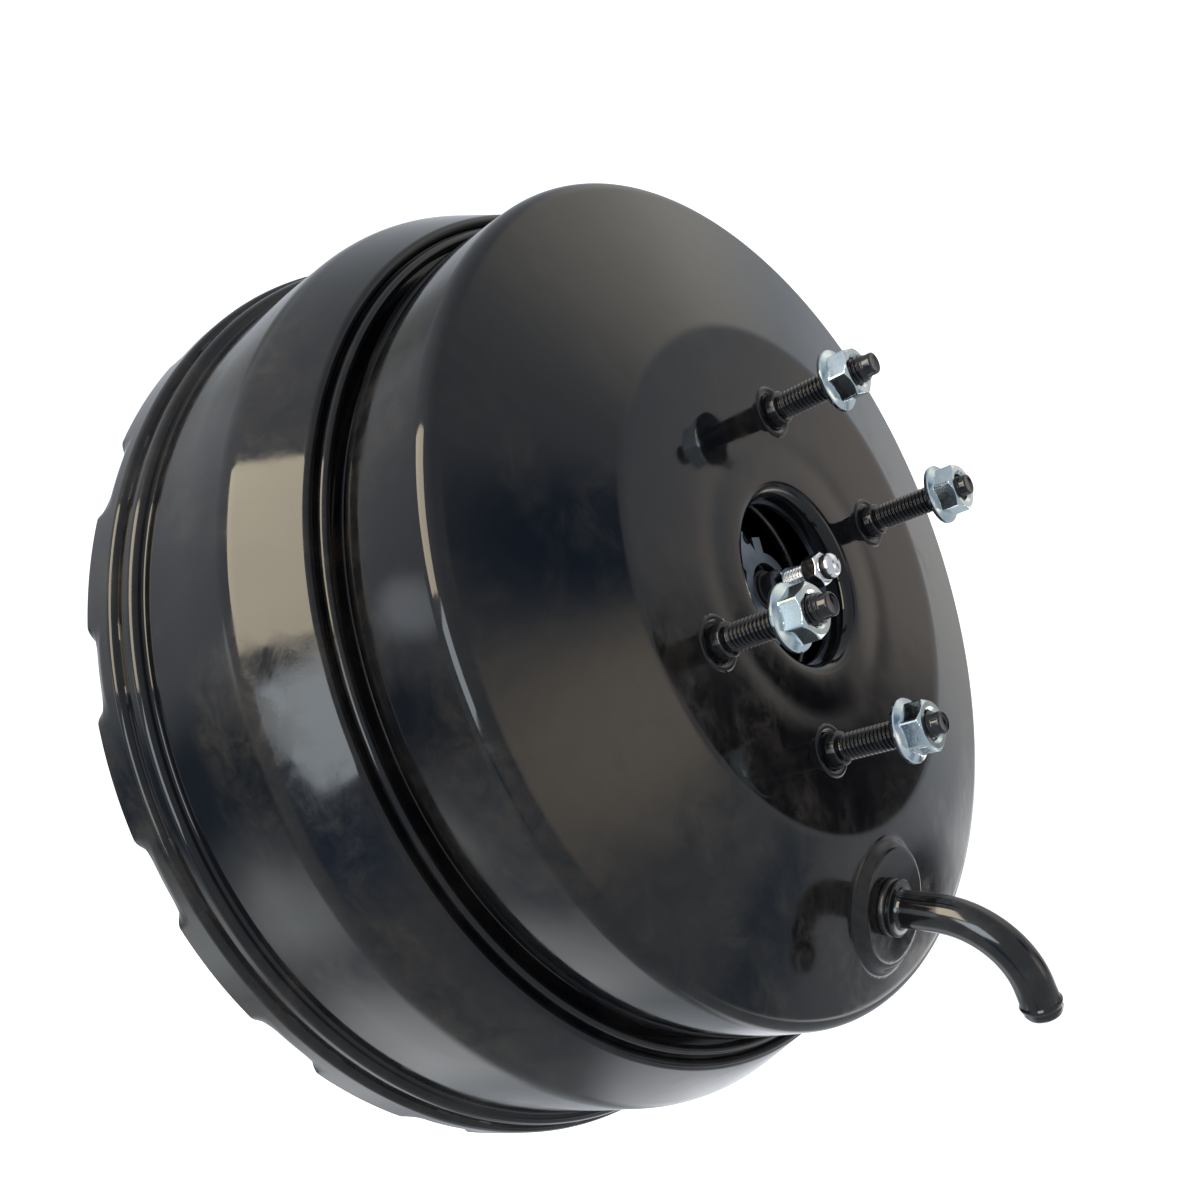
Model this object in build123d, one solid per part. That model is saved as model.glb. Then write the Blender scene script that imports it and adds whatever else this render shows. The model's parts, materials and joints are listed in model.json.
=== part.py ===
from build123d import *
import os
from math import atan2, cos, degrees, radians, sin, tan

# Tandem vacuum brake booster. +X points forward to the master cylinder, +Y to the left, +Z up.
# The origin is the middle of the face that meets the firewall. Lengths are in millimetres.
# Angles round the X axis are counted from +Y towards +Z.

os.makedirs("parts", exist_ok=True)

# Whole booster
body_depth = 160.0
front_wall = 1.6
rear_wall = 1.8
inside_bend = 0.3
sharp_bend = 0.5

# Front shell, from the mouth outwards and back
mouth_r = 25.2
mouth_depth = 7.0
mouth_bend = 4.0
pad_r = 75.7
pad_bend = 11.0
cone_drop = 13.9
upper_r = 126.5
upper_bend = 5.0
upper_length = 30.9
seam_depth = 4.0
seam_width = 5.2
seam_bend = 1.0
seam_bead_out = 2.5
seam_bead_section = 1.5
shoulder_out = 6.8
shoulder_rise = 2.4
crease_out = 10.9
crease_drop = 21.8
crease_bend = 14.0
lower_length = 39.1
step_out = 3.6
step_length = 7.0
flange_out = 2.2
skirt_length = 13.1

# Crimp that closes the two shells
notch_count = 16
notch_angle = 8.0
notch_first_angle = 11.25
notch_root = 6.6
notch_depth = 4.7
tab_straight = 1.8
tab_bend = 2.2
tab_end = 0.2
crimp_lap = 3.4
lip_gap = 0.3

# Rear shell, with its neck for the valve body
lip_height = 5.6
lip_bend = 2.5
bowl_in = 14.0
bowl_depth = 20.0
bowl_bend = 12.0
knuckle_r = 104.0
knuckle_depth = 6.0
knuckle_bend = 14.0
firewall_face_r = 84.0
face_bend = 6.0
neck_r = 27.8
neck_bend = 3.0
neck_length = 44.0
neck_lip_r = 22.2
bearing_length = 6.0
bearing_chamfer = 1.2
rear_seal_length = 9.0
rear_seal_lip = 2.5
rear_seal_recess = 1.2
rear_seal_bevel = 2.0
seal_retainer_length = 1.6
seal_retainer_gap = 1.5

# Divider between the two chambers
divider_wall = 1.2
divider_gap = 0.3
divider_dish = 16.7
divider_dish_r = 78.0
divider_hub_r = 44.0
divider_collar_r = 29.0
divider_collar_length = 8.0
divider_hub_bend = 5.0
divider_dish_bend = 8.0
divider_crease_bend = 10.0
divider_step = 0.8
divider_step_length = 3.0
hub_seal_lip = 3.0
hub_seal_recess = 1.2
hub_seal_nose = 2.0
hub_seal_bevel = 1.0

# Diaphragms
diaphragm_wall = 1.8
front_bead_length = 2.1
front_bead_in = 3.5
front_bead_margin = 3.3
rear_bead_in = 1.0
bead_overlap = 1.0
roll_gap = 1.2
roll_clear = 0.6
roll_bend = 3.0
roll_inner_bend = 2.4
roll_rim_bend = 0.8
front_roll_width = 8.7
front_roll_length = 8.0
front_root_bend = 1.2
front_web_bend = 8.0
rear_roll_width = 8.9
rear_roll_length = 12.0
rear_root_bend = 2.2
rear_web_bend = 6.0

# Piston plates
plate_wall = 1.4
front_plate_lead = 5.2
front_plate_dish = 16.0
front_plate_dish_r = 86.0
front_plate_hub_r = 46.0
rear_plate_lead = 5.0
rear_plate_dish_r = 62.0
rear_plate_hub_r = 34.0
rear_plate_dish = 3.0
plate_rim = 3.5
plate_rim_bend = 1.8
plate_bend = 8.0
front_retainer_length = 1.8
front_retainer_width = 5.0
rear_retainer_length = 2.2
rear_retainer_width = 6.0

# Valve body
valve_r = 24.0
tail_r = 20.0
tail_length = 75.0
nose_r = 21.0
nose_length = 18.0
tail_bore_r = 16.5
seat_depth = 14.0
seat_bore_r = 12.0
seat_bore_depth = 7.0
seat_ridge_r = 13.4
seat_ridge = 0.6
plunger_bore_r = 8.5
chamber_r = 14.5
chamber_depth = 22.0
air_port_r = 3.0
air_port_count = 4
air_port_reach = 12.0

# Key that stops the piston and holds the plunger
key_thickness = 2.5
key_width = 17.0
key_reach = 33.0
key_gap = 0.3

# Plunger, poppet and input rod
plunger_travel = 2.0
plunger_gap = 2.4
plunger_neck_r = 5.4
plunger_seat_r = 9.8
plunger_flange = 4.6
plunger_land = 6.0
plunger_waist = 2.0
plunger_guide = 9.0
plunger_stem = 5.0
plunger_stem_step = 1.5
ball_r = 5.5
ball_depth = 8.0
ball_neck_length = 9.0
ball_neck_step = 1.3
input_rod_r = 4.5
input_point = 1.0
rod_bare = 9.5
input_thread_r = 5.0
input_thread_length = 28.0
poppet_r = 14.4
poppet_inner_r = 6.9
poppet_thickness = 2.6
poppet_neck_r = 8.9
poppet_length = 18.0
poppet_bead = 3.0
poppet_neck_bore_r = 7.5
poppet_face = 2.0
poppet_retainer_length = 2.0
poppet_retainer_step = 0.6
socket_gap = 0.05
socket_mouth_r = 4.6

# Springs: mean radius, wire radius and turns
return_spring_r = 32.0
return_wire_r = 2.0
return_turns = 5.25
poppet_spring_r = 11.9
poppet_wire_r = 0.6
poppet_turns = 3.5
input_spring_r = 10.5
input_wire_r = 0.9
input_turns = 3.5
input_spring_length = 14.0
spring_seat_length = 2.0
spring_seat_margin = 1.6

# Filter pack in the tail
filter_length = 8.0
silencer_length = 8.0
filter_hole_r = 8.2
filter_cap = 2.4
filter_vent_r = 2.1
filter_vent_count = 8

# Output rod, from its foot to its dome
foot_r = 14.3
foot_thickness = 5.0
foot_cone = 1.5
disc_thickness = 8.0
rod_retainer_length = 1.2
rod_retainer_gap = 2.5
rod_r = 7.0
rod_back = 16.0
rod_land_r = 6.0
rod_land_length = 4.0
rod_ring_r = 5.3
rod_ring_length = 1.0
rod_nose_r = 4.5
rod_nose_length = 4.0
collar_flats = 7.4
collar_length = 3.0
tip_thread_r = 3.0
tip_thread_depth = 14.0
tip_neck_length = 7.0
tip_flats = 9.0
tip_hex_length = 5.0
tip_end_gap = 0.5
tip_r = 3.7
tip_length = 4.5
tip_round = 2.2

# Guide behind the mouth for the output rod
guide_wall = 1.5
guide_bore_r = 7.8
guide_hub_r = 11.0
guide_rim_r = 29.3
guide_rim_inner_r = 24.6
guide_drop = 4.0
guide_arm_width = 9.5
guide_arm_count = 3
guide_first_angle = 76.0
guide_notch_r = 1.9
guide_notch_reach = 15.5
guide_lug_reach = 15.6
guide_lug_width = 4.0
guide_lug_turn = -34.0
guide_overlap = 1.0

# Studs on both faces, M8
front_stud_y = 44.0
front_stud_z = 26.15
front_stud_length = 34.9
rear_stud_y = 43.0
rear_stud_z = 35.0
rear_stud_length = 24.0
stud_shoulder_r = 5.0
stud_collar_r = 5.2
stud_shoulder_length = 4.0
stud_thread_r = 4.0
stud_free_r = 3.9
stud_head_r = 8.0
stud_head_length = 4.0
stud_point_r = 3.1
stud_point_length = 2.6
stud_run_out = 1.0
swage_r = 7.8
swage_inner_r = 6.2
swage_height = 0.5
stud_plate_wall = 2.5
front_stud_plate_r = 70.0
front_stud_plate_hole_r = 39.0
rear_stud_plate_r = 74.0
rear_stud_plate_hole_r = 36.0

# Flange nuts, with how far each one's seat stands off the mounting pad
nut_seats = (21.7, 24.8, 22.0, 23.8)
nut_flats = 13.0
nut_height = 8.0
nut_flange_r = 9.0
nut_flange = 1.4
nut_flange_slope = 1.4
nut_flange_root = 1.0
nut_chamfer = 0.9
nut_gap = 0.3

# Vacuum port on the cone
boss_angle = -134.6
boss_inset = 28.7
boss_height = 3.0
boss_flat_r = 17.5
boss_foot_r = 20.0
boss_root = 5.0
boss_margin = 8.0
port_offset_out = -0.8
port_offset_side = -3.4
port_hole_r = 7.4
grommet_r = 8.4
grommet_lip = 2.0
grommet_hold = 2.0
grommet_bevel = 0.7
grommet_lead = 0.6
elbow_r = 5.5
elbow_wall = 1.2
elbow_collar_r = 8.3
elbow_collar = 1.5
elbow_straight = 14.5
elbow_bend = 24.8
elbow_angle = 78.0
elbow_twist = 14.6
elbow_end = 9.0
elbow_bead_r = 6.0
elbow_bead_back = 3.5
elbow_nose_r = 4.8
elbow_nose = 1.2
elbow_barb = 3.0
elbow_barb_out = 1.2

# Boot over the neck and tail
boot_wall = 1.4
boot_grip = 16.0
boot_folds = 5
boot_fold_pitch = 6.4
boot_crest = 33.5
boot_valley = 23.5
boot_rod_grip = 6.0
boot_start = 1.5
boot_crest_bend = 0.8
boot_grip_bend = 1.2
boot_tail_flat = 2.5
boot_tail_length = 5.0
boot_tail_bend = 1.0

# Clevis and its lock nut
clevis_width = 20.0
clevis_slot = 10.0
clevis_height = 18.0
clevis_base = 16.0
clevis_length = 42.0
clevis_pin_r = 5.05
clevis_pin_back = 9.0
clevis_overrun = 2.0
clevis_flat = 0.4
lock_nut_flats = 16.0
lock_nut_length = 6.0

# Clearances
running_gap = 0.05
seat_gap = 0.1


# Radii that several pieces share
shoulder_r = upper_r + shoulder_out
lower_r = shoulder_r + crease_out
step_r = lower_r + step_out
flange_r = step_r + flange_out
seam_bead_r = upper_r + seam_bead_out
lip_r = flange_r - front_wall - lip_gap
bowl_r = flange_r - bowl_in
front_bead_inner_r = upper_r - front_bead_in
front_bead_outer_r = shoulder_r - front_bead_margin
rear_bead_r = lower_r - rear_bead_in
front_roll_r = upper_r - seam_depth - front_wall - roll_gap
front_plate_r = front_roll_r - front_roll_width
rear_roll_r = lower_r - front_wall - divider_gap - divider_wall - roll_gap
rear_plate_r = rear_roll_r - rear_roll_width
boss_reach = upper_r - boss_inset
stud_hole_r = stud_collar_r + seat_gap

# Stations along X that several pieces share
pad_x = body_depth
pad_inner_x = pad_x - front_wall
cone_slope = cone_drop / (upper_r - pad_r)
cone_tilt = degrees(atan2(cone_drop, upper_r - pad_r))
upper_x = pad_x - cone_drop
seam_x = upper_x - upper_length
seam_rear_x = seam_x - seam_width
shoulder_x = seam_rear_x + shoulder_rise
crease_x = shoulder_x - crease_drop
step_x = crease_x - lower_length
flange_x = step_x - step_length
skirt_x = flange_x - skirt_length
lip_x = skirt_x + crimp_lap
lip_front_x = lip_x + rear_wall
ridge_x = seam_rear_x - front_wall
divider_x = ridge_x - front_bead_length - seat_gap
divider_hub_x = divider_x - divider_dish
front_plate_x = divider_x + front_plate_lead + diaphragm_wall
front_hub_x = front_plate_x - front_plate_dish
rear_plate_x = lip_front_x + rear_plate_lead
rear_hub_x = rear_plate_x - rear_plate_dish
valve_shoulder_x = front_hub_x - diaphragm_wall - 2 * running_gap
valve_front_x = valve_shoulder_x + nose_length
chamber_x = valve_front_x - chamber_depth
seat_x = -seat_depth
rear_shoulder_x = rear_hub_x + plate_wall + running_gap
plunger_rear_x = seat_x - seat_ridge - running_gap
poppet_x = plunger_rear_x - running_gap
rod_land_x = pad_x - rod_back
key_x = rear_wall + key_gap
guide_x = pad_x - mouth_depth - seat_gap
boot_end = neck_length + boot_start + boot_folds * boot_fold_pitch + boot_tail_length + boot_rod_grip
input_rod_length = boot_end + rod_bare + lock_nut_length + clevis_base + clevis_overrun


def outline(corners):
    # Straight runs through (x, y, bend) corners. The first and last corners have no bend.
    points = [corner[:2] for corner in corners]
    bends = [corner[2] for corner in corners[1:-1]]
    return FilletPolyline(*points, radius=bends)


def pressing(corners, wall, side=Side.LEFT):
    # Sheet of one thickness, to one side of its outline, turned round the X axis
    skin = offset(outline(corners), amount=wall, side=side, closed=True)
    return revolve(make_face(skin), axis=Axis.X)


def turned(*points):
    # Solid of revolution round the X axis through plain (x, r) corners
    return revolve(make_face(Polyline(*points, close=True)), axis=Axis.X)


def ring(x, length, outer, inner):
    return turned((x, inner), (x + length, inner), (x + length, outer), (x, outer))


def rod(x, length, radius):
    return Plane.YZ.offset(x) * extrude(Circle(radius), length)


def hexagon(x, length, flats):
    return Plane.YZ.offset(x) * extrude(RegularPolygon(flats / 2, 6, major_radius=False), length)


def helix_spring(x, length, mean_r, wire_r, turns):
    pitch = (length - 2 * wire_r) / turns
    centre_line = Helix(pitch, length - 2 * wire_r, mean_r, center=(x + wire_r, 0, 0), direction=(1, 0, 0))
    section = Plane(origin=centre_line @ 0, z_dir=centre_line % 0) * RegularPolygon(wire_r, 10)
    return sweep(section, path=centre_line, is_frenet=True)


def at_angle(angle):
    return Rot(X=angle)


def front_stud_places():
    return [(y, z) for y in (front_stud_y, -front_stud_y) for z in (front_stud_z, -front_stud_z)]


def rear_stud_places():
    return [(y, z) for y in (rear_stud_y, -rear_stud_y) for z in (rear_stud_z, -rear_stud_z)]


def boss_plane():
    # On the boss flat: local Z leaves the shell, local X points down the cone
    out = radians(boss_angle)
    tilt = radians(cone_tilt)
    radial = (cos(out), sin(out))
    normal = Vector(cos(tilt), sin(tilt) * radial[0], sin(tilt) * radial[1])
    downhill = Vector(-sin(tilt), cos(tilt) * radial[0], cos(tilt) * radial[1])
    foot = Vector(pad_x - (boss_reach - pad_r) * cone_slope, boss_reach * radial[0], boss_reach * radial[1])
    return Plane(origin=foot + normal * boss_height, x_dir=downhill, z_dir=normal)


def port_plane():
    boss = boss_plane()
    boss.origin = boss.from_local_coords(Vector(port_offset_out, port_offset_side, 0))
    return boss


def front_shell_corners():
    tight = front_wall + inside_bend
    return [
        (pad_x - mouth_depth, mouth_r),
        (pad_x, mouth_r, mouth_bend),
        (pad_x, pad_r, pad_bend),
        (upper_x, upper_r, upper_bend),
        (seam_x, upper_r, tight + sharp_bend),
        (seam_x, upper_r - seam_depth, seam_bend),
        (seam_rear_x, upper_r - seam_depth, seam_bend),
        (seam_rear_x, shoulder_r - shoulder_rise * 0.9, sharp_bend),
        (shoulder_x, shoulder_r, tight),
        (crease_x, lower_r, crease_bend),
        (step_x, lower_r, seam_bend),
        (step_x, step_r, tight + inside_bend),
        (flange_x, step_r, inside_bend),
        (flange_x, flange_r, tight - inside_bend / 3),
        (skirt_x, flange_r),
    ]


def boss_shape(flat_r, foot_r, top):
    # Cone-sided boss that stands on the shell's slope and reaches well inside it
    side = (foot_r - flat_r) / boss_height
    height = top + boss_height + boss_root
    frustum = Cone(flat_r + side * height, flat_r, height, align=(Align.CENTER, Align.CENTER, Align.MAX))
    return boss_plane() * Pos(0, 0, top) * frustum


def inside_front_shell():
    # The space in front of the cone's inner skin and its pad, for trimming the boss
    far = pad_x + boss_foot_r
    edge_r = upper_r - boss_margin
    edge_x = pad_inner_x - (edge_r - pad_r) * cone_slope
    return turned((pad_inner_x, 0), (pad_inner_x, pad_r), (edge_x, edge_r), (far, edge_r), (far, 0))


def crimp_notch():
    # One tab of the skirt, bent in behind the rear shell's lip
    root_x = skirt_x + notch_root
    bend_x = skirt_x + tab_straight
    corners = [(root_x, flange_r), (bend_x, flange_r, tab_bend), (skirt_x + tab_end, flange_r - notch_depth)]
    skin = make_face(offset(outline(corners), amount=front_wall, side=Side.LEFT, closed=True))
    return revolve(skin, axis=Axis.X, revolution_arc=notch_angle)


def notch_sector():
    root_x = skirt_x + notch_root
    low = flange_r - front_wall - 1
    high = flange_r + 1
    corners = [(skirt_x - 1, low), (root_x, low), (root_x, high), (skirt_x - 1, high)]
    return revolve(make_face(Polyline(*corners, close=True)), axis=Axis.X, revolution_arc=notch_angle)


def front_shell():
    shell = pressing(front_shell_corners(), front_wall)
    bead_x = seam_rear_x + seam_bead_section * 0.8
    shell += revolve(Pos(bead_x, seam_bead_r) * Circle(seam_bead_section), axis=Axis.X)
    shell += boss_shape(boss_flat_r, boss_foot_r, 0) & inside_front_shell()
    shell -= boss_shape(boss_flat_r - front_wall, boss_foot_r - front_wall, -front_wall)
    shell -= port_plane() * Cylinder(port_hole_r, 6 * front_wall)
    for y, z in front_stud_places():
        swage = ring(pad_x, swage_height, swage_r, swage_inner_r)
        shell += Pos(0, y, z) * swage
        shell -= Pos(0, y, z) * rod(pad_inner_x - 1, front_wall + 2, stud_hole_r)
    starts = [notch_first_angle + step * 360 / notch_count - notch_angle / 2 for step in range(notch_count)]
    for start in starts:
        shell -= at_angle(start) * notch_sector()
    for start in starts:
        shell += at_angle(start) * crimp_notch()
    return shell


def rear_shell():
    shell = pressing(
        [
            (lip_x, lip_r),
            (lip_x, lip_r - lip_height, lip_bend),
            (bowl_depth, bowl_r, bowl_bend),
            (knuckle_depth, knuckle_r, knuckle_bend),
            (0, firewall_face_r, face_bend),
            (0, neck_r, neck_bend),
            (-neck_length, neck_r, rear_wall + 3 * inside_bend),
            (-neck_length, neck_lip_r),
        ],
        rear_wall,
    )
    for y, z in rear_stud_places():
        shell -= Pos(0, y, z) * rod(-1, rear_wall + 2, stud_hole_r)
    return shell


def center_plate():
    # Divider: its rim follows the front shell inside and reaches back to the rear diaphragm's bead
    tight = divider_wall + inside_bend
    cone_inner = (lower_r - shoulder_r) / crease_drop
    inner_lower_r = lower_r - front_wall - divider_gap
    inner_step_r = step_r - front_wall - divider_gap
    rim_r = inner_lower_r - (divider_x - crease_x) * cone_inner - 2 * divider_gap
    rear_x = flange_x - front_wall + seat_gap
    return pressing(
        [
            (divider_hub_x - divider_collar_length, divider_collar_r),
            (divider_hub_x, divider_collar_r, tight),
            (divider_hub_x, divider_hub_r, divider_hub_bend),
            (divider_x, divider_dish_r, divider_dish_bend),
            (divider_x, rim_r, tight + 2 * inside_bend),
            (crease_x - divider_gap, inner_lower_r, divider_crease_bend),
            (rear_x + divider_wall + divider_step_length, inner_lower_r, divider_wall),
            (rear_x + divider_wall, inner_step_r - divider_step, tight),
            (rear_x, inner_step_r - divider_step),
        ],
        divider_wall,
    )


def center_hub_seal():
    # Lip seal in the divider's collar, running on the valve body
    back = divider_hub_x - divider_collar_length
    outer = divider_collar_r - running_gap
    front = divider_hub_x + hub_seal_nose
    return turned(
        (back, valve_r + running_gap),
        (back + hub_seal_lip, valve_r + hub_seal_recess),
        (front - hub_seal_lip, valve_r + hub_seal_recess),
        (front, valve_r + running_gap),
        (front, outer - hub_seal_bevel),
        (front - hub_seal_nose, outer),
        (back, outer),
    )


def front_diaphragm():
    # Bead clamped between the divider and the shell's ridge, then a rolled loop and the web
    bead = ring(divider_x + seat_gap / 2, front_bead_length, front_bead_outer_r, front_bead_inner_r)
    web_x = front_plate_x - running_gap
    roll_x = front_plate_x + front_roll_length
    root_x = divider_x + seat_gap / 2 + diaphragm_wall
    loop = pressing(
        [
            (root_x, front_bead_inner_r + bead_overlap),
            (root_x, front_roll_r, front_root_bend),
            (roll_x, front_roll_r, roll_bend),
            (roll_x, front_plate_r + roll_clear, roll_inner_bend),
            (web_x, front_plate_r + roll_clear, roll_rim_bend),
            (web_x, front_plate_dish_r, front_web_bend),
            (front_hub_x - running_gap, front_plate_hub_r, front_web_bend),
            (front_hub_x - running_gap, nose_r + seat_gap),
        ],
        diaphragm_wall,
        Side.RIGHT,
    )
    return bead + loop


def rear_diaphragm():
    bead_length = flange_x - front_wall - lip_front_x - 2 * seat_gap
    bead = ring(lip_front_x + seat_gap, bead_length, lip_r, rear_bead_r)
    web_x = rear_plate_x - running_gap
    roll_x = rear_plate_x + rear_roll_length
    root_x = lip_front_x + seat_gap + diaphragm_wall
    loop = pressing(
        [
            (root_x, rear_bead_r + bead_overlap),
            (root_x, rear_roll_r, rear_root_bend),
            (roll_x, rear_roll_r, roll_bend),
            (roll_x, rear_plate_r + roll_clear, roll_inner_bend),
            (web_x, rear_plate_r + roll_clear, roll_rim_bend),
            (web_x, rear_plate_dish_r, rear_web_bend),
            (rear_hub_x - running_gap, rear_plate_hub_r, rear_web_bend),
            (rear_hub_x - running_gap, tail_r + seat_gap),
        ],
        diaphragm_wall,
        Side.RIGHT,
    )
    return bead + loop


def piston_plate(face_x, hub_x, rim_r, dish_r, hub_r, bore_r):
    return pressing(
        [
            (face_x + plate_rim, rim_r),
            (face_x, rim_r, plate_rim_bend),
            (face_x, dish_r, plate_bend),
            (hub_x, hub_r, plate_bend),
            (hub_x, bore_r + seat_gap),
        ],
        plate_wall,
    )


def front_piston_plate():
    return piston_plate(
        front_plate_x, front_hub_x, front_plate_r, front_plate_dish_r, front_plate_hub_r, nose_r
    )


def rear_piston_plate():
    return piston_plate(rear_plate_x, rear_hub_x, rear_plate_r, rear_plate_dish_r, rear_plate_hub_r, tail_r)


def front_plate_retainer():
    # Spring-steel ring on the valve body's nose, pressed against the plate
    back = front_hub_x + plate_wall + running_gap
    return ring(back, front_retainer_length, nose_r + front_retainer_width, nose_r + running_gap)


def rear_plate_retainer():
    back = rear_hub_x - diaphragm_wall - 2 * running_gap - rear_retainer_length
    return ring(back, rear_retainer_length, tail_r + rear_retainer_width, tail_r + running_gap)


def valve_body():
    seat_front = seat_x + seat_bore_depth
    body = turned(
        (-tail_length, tail_bore_r),
        (-tail_length, tail_r),
        (rear_shoulder_x, tail_r),
        (rear_shoulder_x, valve_r),
        (valve_shoulder_x, valve_r),
        (valve_shoulder_x, nose_r),
        (valve_front_x, nose_r),
        (valve_front_x, chamber_r),
        (chamber_x, chamber_r),
        (chamber_x, plunger_bore_r),
        (seat_front, plunger_bore_r),
        (seat_front, seat_bore_r),
        (seat_x - seat_ridge, seat_bore_r),
        (seat_x - seat_ridge, seat_ridge_r),
        (seat_x, seat_ridge_r),
        (seat_x, tail_bore_r),
    )
    slot_x = key_x + key_thickness / 2
    body -= Pos(slot_x, 0, 0) * Box(key_thickness + 2 * seat_gap, key_width + 2 * seat_gap, 2 * valve_r)
    port_x = key_x + key_thickness + air_port_reach
    for port in range(air_port_count):
        turn = 45 + port * 360 / air_port_count
        hole = Pos(port_x, 0, (tail_r + plunger_bore_r) / 2) * Cylinder(air_port_r, tail_r)
        body -= at_angle(turn) * hole
    return body


def stop_key():
    # Fork across the valve body: its ends rest on the rear shell and its legs hold the plunger's neck
    middle_x = key_x + key_thickness / 2
    key = Pos(middle_x, 0, 0) * Box(key_thickness, key_width, 2 * key_reach)
    neck_r_here = plunger_neck_r + seat_gap
    key -= Pos(middle_x, 0, -key_reach / 2) * Box(2 * key_thickness, 2 * neck_r_here, key_reach)
    key -= rod(key_x - 1, key_thickness + 2, neck_r_here)
    return key


def rear_guide_bearing():
    back = -neck_length + rear_wall + seat_gap
    outer = neck_r - rear_wall - running_gap
    return turned(
        (back, tail_r + running_gap),
        (back, outer - bearing_chamfer),
        (back + bearing_chamfer, outer),
        (back + bearing_length, outer),
        (back + bearing_length, tail_r + running_gap),
    )


def rear_seal():
    back = -neck_length + rear_wall + 2 * seat_gap + bearing_length
    front = back + rear_seal_length
    outer = neck_r - rear_wall - running_gap
    return turned(
        (back, tail_r + running_gap),
        (back + rear_seal_lip, tail_r + rear_seal_recess),
        (front - rear_seal_lip, tail_r + rear_seal_recess),
        (front, tail_r + running_gap),
        (front, tail_r + rear_seal_bevel),
        (front - rear_seal_bevel, outer),
        (back, outer),
    )


def rear_seal_retainer():
    back = -neck_length + rear_wall + 3 * seat_gap + bearing_length + rear_seal_length
    outer = neck_r - rear_wall - running_gap
    return ring(back, seal_retainer_length, outer, tail_r + seal_retainer_gap)


def return_spring():
    back = front_hub_x + plate_wall + seat_gap
    length = pad_inner_x - back - seat_gap
    return helix_spring(back, length, return_spring_r, return_wire_r, return_turns)


def reaction_disc():
    return rod(chamber_x + seat_gap, disc_thickness, chamber_r - seat_gap)


def foot_x():
    return chamber_x + 2 * seat_gap + disc_thickness


def output_rod():
    # Foot on the reaction disc, then a shaft that steps down to its threaded nose
    x = foot_x()
    land_end = rod_land_x + rod_land_length
    ring_end = land_end + rod_ring_length
    nose_end = ring_end + rod_nose_length
    body = turned(
        (x, 0),
        (x, foot_r),
        (x + foot_thickness, foot_r),
        (x + foot_thickness, rod_r + foot_cone),
        (x + foot_thickness + foot_cone, rod_r),
        (rod_land_x, rod_r),
        (rod_land_x, rod_land_r),
        (land_end, rod_land_r),
        (land_end, rod_ring_r),
        (ring_end, rod_ring_r),
        (ring_end, rod_nose_r),
        (nose_end, rod_nose_r),
        (nose_end, 0),
    )
    return body - rod(nose_end - tip_thread_depth, tip_thread_depth + 1, tip_thread_r + running_gap)


def rod_nose_end():
    return rod_land_x + rod_land_length + rod_ring_length + rod_nose_length


def rod_retainer():
    # Star washer pressed into the chamber in front of the rod's foot
    x = foot_x() + foot_thickness + seat_gap
    return ring(x, rod_retainer_length, chamber_r - running_gap, rod_r + rod_retainer_gap)


def rod_collar():
    x = rod_nose_end() + seat_gap / 2
    return hexagon(x, collar_length, collar_flats) - rod(x - 1, collar_length + 2, tip_thread_r + running_gap)


def output_rod_tip():
    # Adjusting screw: threaded shank, hexagon and the domed end that pushes the master cylinder
    start = rod_nose_end() - tip_thread_depth + tip_end_gap
    hex_x = rod_nose_end() + collar_length + tip_neck_length
    tip = rod(start, hex_x - start, tip_thread_r)
    tip += hexagon(hex_x, tip_hex_length, tip_flats)
    dome_x = hex_x + tip_hex_length
    dome = rod(dome_x, tip_length, tip_r)
    dome = fillet(dome.edges().sort_by(Axis.X)[-1:], tip_round)
    return tip + dome


def rod_guide():
    # Stamped spider behind the mouth: a rim on the mouth's edge, notched arms and a ring round the rod
    hub_x = guide_x - guide_drop - guide_wall
    rim_x = guide_x - guide_wall
    guide = ring(rim_x, guide_wall, guide_rim_r, guide_rim_inner_r)
    guide += ring(hub_x, guide_wall, guide_hub_r, guide_bore_r)
    arm_start = guide_bore_r + guide_overlap
    arm_end = guide_rim_inner_r + guide_wall
    middle_x = hub_x + guide_wall / 2
    low = (Align.CENTER, Align.MIN, Align.CENTER)
    arm = Pos(middle_x, arm_start, 0) * Box(guide_wall, arm_end - arm_start, guide_arm_width, align=low)
    notch = Pos(0, guide_notch_reach, -guide_arm_width / 2) * rod(hub_x - 1, guide_wall + 2, guide_notch_r)
    riser_middle = Pos((hub_x + guide_x) / 2, arm_end - guide_wall / 2, 0)
    riser = riser_middle * Box(guide_x - hub_x, guide_wall, guide_arm_width)
    lug_length = guide_lug_reach - arm_start
    lug = Pos(middle_x, arm_start, 0) * Box(guide_wall, lug_length, guide_lug_width, align=low)
    spoke = (arm - notch) + riser + at_angle(guide_lug_turn) * lug
    for step in range(guide_arm_count):
        guide += at_angle(guide_first_angle + step * 360 / guide_arm_count) * spoke
    return guide


def stud_plate(x, outer_r, hole_r, places):
    plate = ring(x, stud_plate_wall, outer_r, hole_r)
    for y, z in places:
        plate -= Pos(0, y, z) * rod(x - 1, stud_plate_wall + 2, stud_hole_r)
    return plate


def front_stud_plate():
    x = pad_inner_x - stud_plate_wall
    return stud_plate(x, front_stud_plate_r, front_stud_plate_hole_r, front_stud_places())


def rear_stud_plate():
    return stud_plate(rear_wall, rear_stud_plate_r, rear_stud_plate_hole_r, rear_stud_places())


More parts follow.
